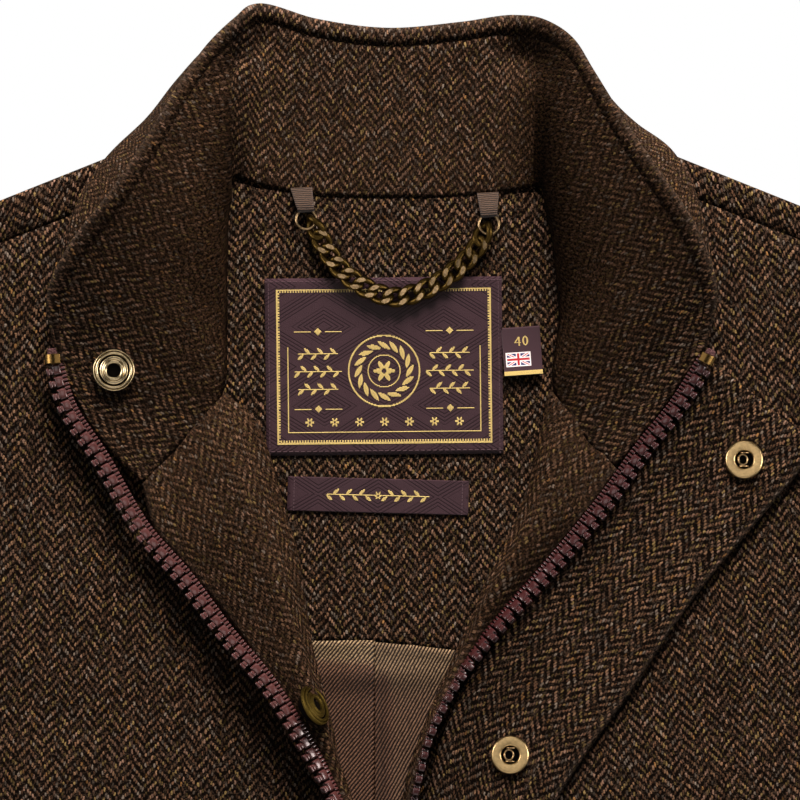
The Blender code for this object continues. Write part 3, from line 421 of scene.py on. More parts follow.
for y in heights:
    halfWidth = np.interp(y, backEdge[order, 1], backEdge[order, 0]) - lining["inset"]
    x = np.concatenate([np.linspace(-halfWidth, pleat[0, 0], rightColumns + 1)[:-1], pleat[:, 0],
                        np.linspace(pleat[-1, 0], halfWidth, leftColumns + 1)[1:]])
    z = np.concatenate([np.full(rightColumns, lining["z"]), pleat[:, 1], np.full(leftColumns, lining["z"])])
    dip = facing["slope"] * x + facing["arch"] * bell(x, *facing["archAt"])
    rows.append(np.stack([x, y + dip * easeFrom(y, *lining["dipFrom"]), z], axis=1))
points = np.array(rows)
spread = runs(points, 1)
spread -= spread[:, lining["zeroColumn"]][:, None]
rightHalf = np.arange(points.shape[1]) < lining["foldColumn"]
slant = np.radians(np.where(rightHalf, lining["rightSlant"], lining["leftSlant"]))
weave = np.stack([spread * np.cos(slant) + points[:, :, 1] * np.sin(slant),
                  points[:, :, 1] * np.cos(slant) - spread * np.sin(slant)], axis=-1)
x, y = points[:, :, 0].copy(), points[:, :, 1].copy()
down = y - facing["slope"] * x
points[:, :, 2] += lining["crease"] * bell(y + 0.4 * x, *lining["creaseAt"])
points[:, :, 2] += lining["tuck"] * easeFrom(down, *lining["tuckFrom"])
swell = np.where(rightHalf, lining["swell"]["right"], lining["swell"]["left"])
points[:, :, 2] += swell * bell(y, *lining["swellY"]) * bell(x, *lining["swellX"])
leftSheen = lining["leftLeast"] + lining["leftMore"] * easeFrom(down, *lining["leftSheen"])
sheen = np.where(rightHalf, easeFrom(down, *lining["rightSheen"]), leftSheen)
foldY, foldRun = lining["foldFrom"]
sheen -= lining["foldShade"] * bell(x, *lining["foldAt"]) * ~rightHalf * ease((foldY - down) / foldRun)
piece = layCloth("back_lining_cloth", points, weave, lining["wall"], twill, ["back_lining"],
                 masks={"sheen": sheen})
print("facing and lining laid")

# Facings roll over the fronts' edges and lie turned out, up to the zip.
facings = {
    "right": [((65.8, -80.8), (99.4, -118.2, 15.2), 14.2), ((53, -93), (93.5, -137.5, 16), 18.5),
              ((48, -107), (86.5, -145.5, 16.6), 20.5), ((43, -125), (77, -156.5, 17.3), 21.5),
              ((37, -146), (66, -169.5, 18.5), 22), ((33.8, -167), (54.6, -184.8, 20), 22),
              ((29.2, -191), (41.7, -201.8, 20.3), 21.5), ((22.8, -215.6), (29.4, -223.2, 18.6), 19.4),
              ((17, -238.4), (20, -240.8, 15.7), 16), ((9, -260), (10.4, -260, 12), 12.2)],
    "left": [((67.6, -79.4), (95.0, -112.4, 15), 14.0), ((63, -102), (84, -127.5, 15), 17.5),
             ((58, -122.4), (76, -137, 15), 18.8), ((49.5, -142.8), (61.5, -153.8, 15.1), 19),
             ((41.6, -158), (50.3, -166, 16), 19), ((35.4, -173.6), (39.8, -178, 17), 19),
             ((28.8, -188), (31.2, -190.0, 17.9), 18.8), ((20, -208), (21.4, -209.3, 17.7), 18.2),
             ((11.4, -234), (12.8, -234.6, 15.7), 16), ((7.4, -260), (8.6, -259.5, 12.2), 12.2)],
}
facingShape = {
    "rows": 120, "columns": 44, "tail": 14.0, "tailZ": 5.4, "roll": 2.2, "frontTop": 8.4, "zipSetback": 4.1,
    "setbackShare": 0.62, "grain": {"right": -31.5, "left": 35.0}, "nap": 0.35, "feltAndShade": 0.29, "feltMore": 0.27,
    "feltFrom": (0.55, 0.35), "napWide": 1.6, "zipDip": 0.5, "zipDipWide": 1.1, "endDip": 0.1, "endDipWide": 2.0,
}
facingPoints = {}
for side, sign in sides.items():
    rows = []
    shape = facingShape
    for roll, zipPoint, crest in facings[side]:
        roll = np.array([*roll, 0.0])
        zipPoint = np.array(zipPoint, float)
        out = (zipPoint - roll) * (1.0, 1.0, 0.0)
        out /= np.linalg.norm(out)
        reach = zipPoint - roll - (0.0, 0.0, shape["frontTop"])
        setback = min(shape["zipSetback"], shape["setbackShare"] * np.linalg.norm(reach))
        edge = zipPoint - reach / np.linalg.norm(reach) * setback
        edgeRun = float(np.dot(edge - roll, out))
        crest = min(crest - clothWall, edge[2] + 0.25 * edgeRun)
        up = crest - shape["frontTop"]
        tail, tailZ, top = shape["tail"], shape["tailZ"], shape["frontTop"]
        profile = [(tail, tailZ), (0.4 * tail, tailZ), (0.4, tailZ + 0.1), (-shape["roll"], top - 0.6),
                   (0.06 * edgeRun - 0.7, top + 0.34 * up + 0.6), (0.24 * edgeRun, top + 1.03 * up),
                   (0.5 * edgeRun, crest), (edgeRun, edge[2])]
        rows.append([roll + out * run + (0.0, 0.0, z) for run, z in along(profile, shape["columns"])])
    coarse = np.array(rows)
    stops = runs(coarse[:, -1])
    points = smoothRows(stops, coarse, np.linspace(0.0, stops[-1], shape["rows"]))
    fromZip = runs(points[:, ::-1], 1)[:, ::-1]
    zipDip = shape["zipDip"] * bell(fromZip, 0.0, shape["zipDipWide"])
    points[:, :, 2] -= zipDip + shape["endDip"] * bell(runs(points), 0.0, shape["endDipWide"])
    points[:, :, 0] *= sign
    out = points[:, -1, :2] - points[:, shape["columns"] // 2, :2]
    out /= np.linalg.norm(out, axis=1)[:, None]
    weave = grain(points[:, -1:, :2] - out[:, None] * fromZip[:, :, None], shape["grain"][side])
    facingPoints[side] = points
    napped = shape["nap"] * bell(fromZip, 0.0, shape["napWide"])
    # felt mask: matted wool with painted shade, growing away from the zip towards the roll
    feltedAndShaded = shape["feltAndShade"] + shape["feltMore"] * easeFrom(fromZip / fromZip.max(), *shape["feltFrom"])
    piece = layCloth(f"{side}_facing_cloth", points, weave, clothWall, tweed, [f"{side}_facing"],
                     masks={"nap": napped, "feltAndShade": feltedAndShaded})
print("facings laid")

# Fronts: from the facings' rolls to armholes and side seams, slack in soft uneven swells.
front = {
    "neck": [(78.0, 1.0), (77.0, -20.0), (77.0, -48.0), (76.0, -74.0)], "setback": 3.4, "edgeX": 5.0,
    "seamGap": 0.3, "seamDip": 1.3, "seamWide": 2.2, "seamRun": 40.0, "z": 7.5, "drop": 4.3, "dropFrom": (0.68, 0.32),
    "below": [-292.0, -350.0, -430.0, -510.0, -590.0, hemY], "rows": 170, "columns": 90,
    "grain": {"right": 3.0, "left": -5.0}, "weaveShift": (3.3, 1.2), "swellShift": 6.0, "swellLean": 0.25,
    "swells": [(150, -330, 34, 102, 1.6), (205, -420, 30, 90, 1.8), (120, -520, 40, 120, 1.4),  # place, spread, rise
               (172, -92, 16, 60, 0.7), (150, -205, 60, 14, -0.6), (118, -250, 15, 50, 0.8),
               (196, -130, 12, 46, -0.8), (60, -600, 20, 80, -0.7)],
}
for side, sign in sides.items():
    inner = list(front["neck"])
    for roll, zipPoint, crest in facings[side]:
        out = np.array(zipPoint[:2]) - roll
        inner.append(tuple(np.array(roll) + out / np.linalg.norm(out) * front["setback"]))
    neckRows = len(inner) - 1
    inner = np.array(inner + [(front["edgeX"], y) for y in front["below"]])
    outer = np.vstack([along(back["armhole"][::-1], neckRows),
                       along(back["side"][::-1], len(inner) - neckRows + 1)[1:]])
    outer[0, 1] = wrapEnd(sign * outer[0, 0]) - front["seamGap"]
    wide = np.linspace(0.0, 1.0, front["columns"])[:, None]
    plan = np.array([near + wide * (far - near) for near, far in zip(inner, outer)])
    plan[0, :, 1] = wrapEnd(sign * plan[0, :, 0]) - front["seamGap"]
    stops = runs(0.5 * (inner + outer))
    at = np.concatenate([np.linspace(0.0, front["seamRun"], 26)[:-1],
                         np.linspace(front["seamRun"], stops[-1], front["rows"])])
    plan = smoothRows(stops, plan, at)
    fromSeam = np.minimum(1.0, at / stops[2])[:, None]
    z = front["z"] - front["drop"] * easeFrom(wide[:, 0], *front["dropFrom"]) * fromSeam
    z = z - front["seamDip"] * bell(at, 0.0, front["seamWide"])[:, None]
    for number, (x0, y0, spreadX, spreadY, rise) in enumerate(front["swells"]):
        shift = front["swellShift"] * math.sin(2.1 * number + sign)
        lean = front["swellLean"] * math.sin(1.3 * number) * (plan[:, :, 1] - y0)
        swell = rise * bell(plan[:, :, 0], x0 + shift + lean, spreadX)
        z = z + swell * bell(plan[:, :, 1], y0 - shift, spreadY)
    points = np.dstack([sign * plan[:, :, 0], plan[:, :, 1], z])
    shiftX, shiftY = front["weaveShift"]
    weave = grain(points, front["grain"][side]) + (shiftX * sign, shiftY)
    piece = layCloth(f"{side}_front_cloth", points, weave, clothWall, tweed, [f"{side}_front"])
print("fronts laid")

# Collar: one double band, from the neck seam up its inner side, over the rolled top edge and down outside.
# Each row: inner seam, top edge, outer seam, outer bulge.
collarCentre = [(0, 0, 4.3), (0, 66.8, 5.0), (0, 0.8, 0.9), (0, 34, 0.9)]
collarRows = {
    "right": [[(28, 0.8, 4.3), (28, 70.5, 5.4), (28, 1.6, 0.9), (28, 36, 0.9)],
              [(50, 4.8, 4.6), (50.8, 76.2, 9), (50, 5, 0.9), (51, 40, 0.9)],
              [(61, 8, 5.6), (59.2, 69.2, 23), (62, 9, 0.9), (62, 48, 4)],
              [(62.3, -1, 5.9), (69.2, 58.4, 33), (71, 10, 0.9), (72.5, 48, 6)],
              [(63.5, -10, 6.1), (79.6, 43.4, 39), (79, 10.8, 0.9), (83, 41, 8)],
              [(64, -33, 6.1), (92.8, 21.2, 41.5), (95, 12.4, 2.5), (95.4, 29.4, 11)],
              [(64, -50, 6.1), (108, -1.2, 39), (110, 0, 10.6), (112.4, 12.4, 13.5)],
              [(66, -80, 8.6), (124, -21, 30.5), (118, -12, 10), (125, -12, 18)],
              [(80, -97, 13.6), (133.5, -42, 21), (117, -45, 10), (128, -40, 15)],
              [(96.5, -114.5, 15), (130, -63.5, 17), (113, -84, 10.2), (121, -75, 12)]],
    "left": [[(30, 0.4, 4.3), (31, 69.2, 5.4), (30, 1.4, 0.9), (30.5, 36, 0.9)],
             [(50, 2.4, 4.6), (52, 71.6, 9), (50, 4.8, 0.9), (52, 38, 0.9)],
             [(63, 3.6, 5.6), (66.2, 67, 22), (65, 9, 0.9), (67, 46, 4)],
             [(64.8, -4, 5.9), (74.8, 59.4, 32), (73, 10, 0.9), (76, 47, 6)],
             [(67, -13.6, 6.1), (81.2, 48.4, 37), (80, 10.8, 0.9), (82, 40.6, 8)],
             [(69.5, -35, 6.1), (98, 21.2, 40), (96, 12.4, 2.5), (99.7, 27.8, 11)],
             [(70.4, -49.2, 6.1), (110, 4.5, 38), (111, 2, 10.6), (114.2, 17.2, 13.5)],
             [(68, -77, 8.6), (124, -17, 30.5), (119, -10, 10), (125.5, -8, 18)],
             [(78, -95, 13.2), (131, -40, 21), (118, -44, 10), (127, -38, 15)],
             [(92, -108, 14.5), (126.5, -61.5, 16.5), (112, -80, 10.2), (120, -72, 12)]],
}
collar = {
    "columns": 300, "innerRows": 70, "outerRows": 26, "sag": -1.2, "roll": 1.9, "puff": 0.8, "puffIn": (1.6, 3.0),
    "stitchIn": 6.6, "stitchDeep": 1.2, "stitchWide": 1.4, "stitchLoss": 0.6, "stitchX": (62.0, 20.0),
    "steepShare": [(-45.0, 0.65), (-5.0, 0.3)], "steepRun": 0.3, "steepRise": 12.0,
    "kick": 0.2, "kickRun": 0.05, "kickX": (60.0, 12.0), "kickY": (-45.0, 40.0),
    "endBow": {"right": 4.6, "left": 1.0}, "bowRun": 60.0, "cornerX": 61.5, "turnGap": 0.06,
    "hollow": 5.5, "hollowIn": (13.0, 8.0), "hollowX": (57.0, 10.0), "hollowY": (40.0, 25.0),
    "seamDip": 0.15, "seamWide": 2.0, "risingZ": (7.0, 10.0), "foldDrop": 3.0, "foldMore": 0.45,
    "backGrain": 4.0, "wingGrain": 59.0, "backScale": 1.08, "wingNap": 0.34, "backNap": 0.2, "napWide": 2.0,
    # the felt keys place matted wool with painted shade, deepest in the valley and the inner corners
    "backFelt": 0.2, "feltAndShade": 0.32, "valleyFeltAndShade": 0.33, "valleyFrom": (0.3, 0.5), "lowLoss": 0.85, "lowY": (5.0, 45.0),
    "cornerFeltAndShade": 0.3, "feltX": (64.0, 12.0), "feltY": (20.0, 20.0),
}
mirror = np.array((-1.0, 1.0, 1.0))
table = np.array([np.array(row) * mirror for row in reversed(collarRows["right"])] + [np.array(collarCentre)]
                 + [np.array(row) for row in collarRows["left"]], float)
stops = runs(table[:, 1])
at = np.linspace(0.0, stops[-1], collar["columns"])
edge = smoothRows(stops, table[:, 1], at)
third = collar["columns"] // 3
for sign in (-1.0, 1.0):  # two close columns where the grain turns
    place = np.interp(sign * collar["cornerX"], edge[third:2 * third, 0], at[third:2 * third])
    at = np.append(at, [place - collar["turnGap"], place + collar["turnGap"]])
at = np.sort(at)
sections = smoothRows(stops, table, at)
seam, edge, base, bulge = sections.transpose(1, 0, 2)
height = np.linalg.norm(edge - seam, axis=1)[:, None]
direction = (edge - seam) / height
short = edge - direction * collar["roll"]
steep = ease((edge[:, 2] - seam[:, 2]) / collar["steepRise"])
steepShare = np.interp(edge[:, 1], *np.array(collar["steepShare"]).T)
upper = easeFrom(edge[:, 1], *collar["kickY"]) * easeFrom(np.abs(edge[:, 0]), *collar["kickX"])
corner = bell(np.abs(edge[:, 0]), *collar["hollowX"]) * easeFrom(edge[:, 1], *collar["hollowY"])
fromEnd = runs(edge)
bow = np.zeros((len(at), 2))
for side, sign in sides.items():
    end = 0 if sign < 0 else -1
    away = np.array([direction[end, 1], -direction[end, 0]]) * sign
    near = ease(1.0 - np.abs(fromEnd - fromEnd[end]) / collar["bowRun"])
    bow += collar["endBow"][side] * near[:, None] * away / np.linalg.norm(away)
stitchLoss = collar["stitchLoss"] * easeFrom(np.abs(edge[:, 0]), *collar["stitchX"])
stitchDeep = collar["stitchDeep"] * (1.0 - stitchLoss)
rows, bowed = [], []
half = collar["innerRows"] // 2
for t in np.concatenate([np.linspace(0.0, 0.8, half)[:-1], np.linspace(0.8, 1.0, half)]):
    row = seam + t * (short - seam)
    bowed.append(4.0 * t * (1.0 - t))
    row[:, :2] += bowed[-1] * bow
    toEdge = (1.0 - t) * height[:, 0]
    quick = 1.0 - math.exp(-t / collar["steepRun"]) - t
    kick = collar["kick"] * (1.0 - math.exp(-t / collar["kickRun"]) - t)
    row[:, 2] += (steepShare * quick + kick * upper) * (short - seam)[:, 2] * steep
    row[:, 2] -= clothRest + collar["sag"] * math.sin(math.pi * t) * steep
    row[:, 2] -= collar["hollow"] * corner * bell(toEdge, *collar["hollowIn"])
    stitched = stitchDeep * bell(toEdge, collar["stitchIn"] - collar["roll"], collar["stitchWide"])
    row[:, 2] += collar["puff"] * bell(toEdge, *collar["puffIn"]) - stitched
    row[:, 2] -= collar["seamDip"] * bell(t * height[:, 0], 0.0, collar["seamWide"])
    rows.append(row)
rising = easeFrom(edge[:, 2], *collar["risingZ"])[:, None]
outward = direction[:, :2] / np.linalg.norm(direction[:, :2], axis=1)[:, None]
outerEdge = short.copy()
outerEdge[:, :2] += outward * rising
outerEdge[:, 2] -= collar["foldDrop"] + collar["foldMore"] * rising[:, 0]
middle = 0.5 * (rows[-1] + outerEdge)
reach = 0.5 * (rows[-1] - outerEdge)
for turned in np.linspace(0.0, math.pi, 10)[1:-1]:
    rows.append(middle + math.cos(turned) * reach + math.sin(turned) * collar["roll"] * direction)
for t in np.linspace(1.0, 0.0, collar["outerRows"]):
    row = (1 - t) * (1 - 2 * t) * base + 4 * t * (1 - t) * bulge + t * (2 * t - 1) * outerEdge
    row[:, 2] = np.maximum(row[:, 2], clothRest)
    rows.append(row)
points = np.array(rows)
upRun = runs(points)
topRow = collar["innerRows"] + 2
fromTop = upRun - upRun[topRow]
# The grain stands up at the back of the neck and turns with the wings beyond the corners.
spread = edge[None, :, :2] + outward[None] * fromTop[:, :, None]
spread[:len(bowed)] += np.array(bowed)[:, None, None] * bow[None]
wing = np.abs(edge[:, 0]) > collar["cornerX"]
turned = np.where(wing, np.sign(edge[:, 0]) * collar["wingGrain"], collar["backGrain"])
weave = grain(spread, turned[None]) * np.where(wing, 1.0, collar["backScale"])[None, :, None]
collarPoints = points[:collar["innerRows"] - 1]
# Felt mask: matted wool with painted shade where the wings stand steep, most of all down in the valley and in the
# inner corners.
valley = easeFrom(-fromTop / height.T, *collar["valleyFrom"])
lowY, lowRun = collar["lowY"]
lowEnd = 1.0 - collar["lowLoss"] * ease((lowY - edge[:, 1]) / lowRun)
inCorner = bell(edge[:, 0], *collar["feltX"]) * easeFrom(edge[:, 1], *collar["feltY"])
feltedAndShaded = np.where(wing, 1.0, collar["backFelt"])[None] * (collar["feltAndShade"] + collar["valleyFeltAndShade"] * valley)
feltedAndShaded = feltedAndShaded * lowEnd[None]
feltedAndShaded = np.clip(feltedAndShaded + collar["cornerFeltAndShade"] * inCorner[None], 0.0, 1.0)
napped = np.where(wing, collar["wingNap"], collar["backNap"])[None] * bell(fromTop, 0.0, collar["napWide"])
piece = layCloth("collar_cloth", points, weave, clothWall, tweed, ["collar_inner", "collar_outer"],
                 masks={"nap": napped, "feltAndShade": feltedAndShaded})
print("collar laid")

# Placket flap on the wearer's left front, lying turned out beside the zip.
flap = {
    "rows": [((132.0, -67.2), (173.6, -100.4)), ((107.4, -101.8), (148.8, -129.6)),
             ((78.5, -137.0), (121.2, -163.2)), ((53.0, -168.5), (98.0, -198.0)),
             ((33.5, -193.0), (79.0, -224.4)), ((22.6, -216.5), (66.0, -246.0)),
             ((16.6, -241.6), (57.5, -272.0)), ((11.5, -262.0), (53.0, -300.0)), ((5.4, -292.0), (52.0, -330.0)),
             ((5.4, -400.0), (52.0, -410.0)), ((5.4, -540.0), (52.0, -545.0)), ((5.4, hemY), (52.0, hemY))],
    "wall": 2.6, "restZ": 10.2, "zipDrop": 2.6, "raisedShare": 0.45, "count": 200, "columns": 40,
    "hemPuff": 0.5, "puffIn": (8.0, 7.0), "edgeDip": 0.5, "dipWide": 1.5, "swell": 0.4, "swellY": (-150.0, 22.0),
    "nap": 0.4, "napWide": 1.6,
}
zipRows = {
    "right": [(132.4, -64.2, 17), (126.8, -84, 16), (114, -104, 15.5), (95.6, -134.8, 16), (80.4, -152, 17),
              (63, -175, 19), (47.4, -193.6, 20.5), (33.8, -215, 19.5), (19.4, -241.8, 15.5), (9.4, -262, 11.8),
              (5.6, -271, 11), (2.35, -285, 11), (2.35, -330, 10)],
    "left": [(128.8, -64.4, 16.5), (116.4, -84.4, 15.5), (103.6, -100.4, 15), (89.6, -120, 15), (63.2, -152, 15),
             (50, -166.4, 16), (39.6, -178.4, 17), (30.0, -191.6, 18), (17.6, -216.4, 17.5), (11.6, -241.6, 15),
             (7.6, -262, 11.8), (5.6, -271, 11), (2.35, -285, 11), (2.35, -330, 10)],
}
table = np.array(flap["rows"])
stops = runs(table.mean(axis=1))
table = smoothRows(stops, table, np.linspace(0.0, stops[-1], flap["count"]))
wide = np.linspace(0.0, 1.0, flap["columns"])
leftZip = np.array(zipRows["left"], float)
order = np.argsort(leftZip[:, 1])
zipZ = np.interp(table[:, 0, 1], leftZip[order, 1], leftZip[order, 2])
plan = table[:, :1] + wide[None, :, None] * (table[:, 1:] - table[:, :1])
raised = np.maximum(0.0, zipZ - flap["zipDrop"] - flap["restZ"])[:, None]
raised = raised * (1.0 - ease(wide / flap["raisedShare"]))[None]
points = np.dstack([plan, flap["restZ"] + raised])
fromEdge = runs(points, 1)
toFree = fromEdge[:, -1:] - fromEdge
puffed = flap["hemPuff"] * bell(toFree, *flap["puffIn"]) - flap["edgeDip"] * bell(toFree, 0.0, flap["dipWide"])
points[:, :, 2] += puffed + flap["swell"] * bell(points[:, :, 1], *flap["swellY"])
flapPoints = points
napped = flap["nap"] * bell(toFree, 0.0, flap["napWide"])
piece = layCloth("placket_flap_cloth", points, np.stack([fromEdge, -runs(points)], axis=-1), flap["wall"], tweed,
                 ["placket_flap"], masks={"nap": napped})
print("flap laid")

# Moulded zip plastic: oxblood, glossy on its rounded edges.
# both rows are one plastic: the wearer's left row gets darker colours than the right row as painted shade
plasticLook = {"right": ("#3b201e", "#563432"), "left": ("#2e1413", "#3f2021"), "flowPerMetre": 420.0,
               "roughness": 0.18, "specular": 0.4, "coat": 0.55, "coatRoughness": 0.12}
plastics = {}
for side in sides:
    plastics[side], add = newMaterial(f"{side} moulded acetal")
    place = add("place", {})["Object"]
    flow = add("noise", {"Vector": place, "Scale": plasticLook["flowPerMetre"], "Detail": 3.0})[0]
    tone = add("mix", {0: flow, 6: plasticLook[side][0], 7: plasticLook[side][1]})[2]
    gloss = add("span", {0: flow, 3: plasticLook["roughness"], 4: 2.0 * plasticLook["roughness"]})[0]
    shader = add("bsdf", {"Base Color": tone, "Roughness": gloss, "Specular IOR Level": plasticLook["specular"],
                          "Coat Weight": plasticLook["coat"], "Coat Roughness": plasticLook["coatRoughness"]})[0]
    add("output", {0: shader})

# Woven zip tape: dull mauve with small pale loops of yarn.
tapeLook = {"loopsPerMetre": 1400.0, "loop": "#664a49", "gap": "#241717", "bumpMm": 0.3}
tape, add = newMaterial("woven zip tape")
place = add("place", {})["Object"]
loops = add("voronoi", {"Vector": place, "Scale": tapeLook["loopsPerMetre"]})["Distance"]
tone = add("mix", {0: loops, 6: tapeLook["loop"], 7: tapeLook["gap"]})[2]
relief = add("bump", {"Strength": 0.8, "Distance": tapeLook["bumpMm"] * 0.001, "Height": loops}, invert=True)[0]
shader = add("bsdf", {"Base Color": tone, "Roughness": 0.9, "Specular IOR Level": 0.1, "Normal": relief})[0]
add("output", {0: shader})

# Brass: dark and olive where it is aged, pale where it is ground flat or worn.
brassLook = {  # colour, roughness, share of grime
    "aged brass": ("#4a3c1c", 0.42, 0.4), "ground brass": ("#bfa67c", 0.3, 0.75),
    "worn brass": ("#cbbd97", 0.24, 0.12), "shadowed brass": ("#685928", 0.6, 0.4),
    "clip brass": ("#705b33", 0.2, 0.15), "rubbed brass": ("#dcc28b", 0.32, 0.25),
}
patinaLook = {"perMetre": 900.0, "grime": "#3c2f16"}
metals = {}
for name, (colour, roughness, grime) in brassLook.items():
    metals[name], add = newMaterial(name)
    place = add("place", {})["Object"]
    patina = add("noise", {"Vector": place, "Scale": patinaLook["perMetre"], "Detail": 3.0})[0]
    dull = add("span", {0: patina, 1: 0.4, 2: 0.75, 3: 0.0, 4: grime})[0]
    tone = add("mix", {0: dull, 6: colour, 7: patinaLook["grime"]})[2]
    shader = add("bsdf", {"Base Color": tone, "Metallic": 1.0, "Roughness": roughness})[0]
    add("output", {0: shader})


def joinCopies(shapes):
    verts, faces, count = [], [], 0
    for points, polygons in shapes:
        verts.append(points)
        faces.extend([tuple(index + count for index in polygon) for polygon in polygons])
        count += len(points)
    return np.vstack(verts), faces


def fitPiece(name, shape, material, slotName, nodes=(), seat=0.0, lean=None, smooth=True):
    verts, faces = shape
    if lean is not None:
        verts = seat + verts @ lean
    mesh = bpy.data.meshes.new(name)
    mesh.from_pydata(world(verts).tolist(), [], faces)
    if smooth:
        mesh.shade_smooth()
    ownPiece(name, mesh, material, nodes)
    return mesh


def meshParts(shape):
    shape.verts.index_update()
    verts = np.array([vert.co for vert in shape.verts])
    faces = [tuple(vert.index for vert in face.verts) for face in shape.faces]
    shape.free()
    return verts, faces


def softBox(size, centre, bevel, segments=2):
    shape = bmesh.new()
    bmesh.ops.create_cube(shape, size=1.0)
    bmesh.ops.scale(shape, vec=size, verts=shape.verts)
    bmesh.ops.bevel(shape, geom=list(shape.edges), offset=bevel, segments=segments, profile=0.5, affect="EDGES")
    bmesh.ops.translate(shape, vec=centre, verts=shape.verts)
    return meshParts(shape)


def ball(radii, centre, rings=8, around=12):
    shape = bmesh.new()
    bmesh.ops.create_uvsphere(shape, u_segments=around, v_segments=rings, radius=1.0)
    verts, faces = meshParts(shape)
    return verts * radii + centre, sorted(faces)  # made in another order on each run


def lathe(profile, steps=48):
    turns = np.linspace(0.0, math.tau, steps, endpoint=False)
    verts = np.array([(r * math.cos(t), r * math.sin(t), z) for t in turns for r, z in profile])
    count = len(profile)
    faces = [((s * count) + k, ((s + 1) % steps) * count + k, ((s + 1) % steps) * count + k + 1, s * count + k + 1)
             for s in range(steps) for k in range(count - 1)]
    return verts, faces


# Zip: each row twists over from the turned-out edge to the closed part at the slider.
zipper = {
    "pitch": 5.0, "ribPitch": 1.62, "start": {"right": 3.0, "left": 0.7}, "stopTurn": {"right": 4.0, "left": -27.0},
    "endY": hemY + 8.0, "closedX": 2.35, "strayTwist": 2.0,
    "twist": {"right": [(-60, 4), (-190, 10), (-225, 32), (-245, 62), (-277, 180), (-700, 180)],
              "left": [(-60, -6), (-137, 12), (-158, 32), (-172, 48), (-185, 66), (-196, 80), (-245, 90),
                       (-277, 180), (-700, 180)]},
    # size, middle, bevel and its steps: a tooth's body, neck, waist and head
    "tooth": [((3.4, 4.4, 3.0), (-0.2, 0.0, 0.0), 0.8, 3), ((1.7, 1.9, 2.4), (1.9, 0.4, 0.0), 0.4, 2),
              ((1.45, 2.7, 2.7), (2.1, 0.4, 0.0), 0.6, 3), ((1.4, 3.0, 2.8), (3.3, 0.4, 0.0), 0.6, 3)],
    "knob": (0.5, 0.55, 0.8), "knobs": [(1.35, -1.65, 0.9), (-1.7, 1.65, 0.9)],
    "rib": ((2.3, 1.2, 2.3), (-2.75, 0.0, 0.0), 0.45), "tapeTip": ((5.2, 3.6, 1.6), (0.2, 2.5, -0.6), 0.7, 3),
    # a stop's section, and its loops along the zip with how much each is drawn in
    "clipFoot": (3.15, -1.5), "clipRound": (4.35, 2.6, -1.2),
    "clipBack": [(-2.2, 2.57), (-2.9, 2.53), (-3.1, 2.5), (-3.15, 2.4), (-3.15, 1.8), (-3.15, -1.5)],
    "clipLoops": [(-1.95, 0.92), (-1.9, 0.97), (-1.75, 1.0), (-1.6, 1.0), (1.6, 1.0), (1.75, 1.0), (1.9, 0.97),
                  (1.95, 0.92)],
}
knobs = [ball(zipper["knob"], knob, 6, 8) for knob in zipper["knobs"]]
tooth = joinCopies([softBox(*block) for block in zipper["tooth"]] + knobs)
rib = softBox(*zipper["rib"])
tapeTip = softBox(*zipper["tapeTip"])
tapeTip[0][:, 0] *= 1.0 - 0.11 * np.clip(tapeTip[0][:, 1] - 1.0, 0.0, 4.0)  # narrower towards its end
wide, high, shift = zipper["clipRound"]
quarter = [(wide * math.cos(t) + shift, high * math.sin(t)) for t in np.linspace(0.0, 0.5 * math.pi, 16)]
clipSection = [zipper["clipFoot"]] + quarter + zipper["clipBack"]
clipLoops = zipper["clipLoops"]


def pathAt(path, run, at):
    return np.array([np.interp(at, run, path[:, axis]) for axis in range(3)])


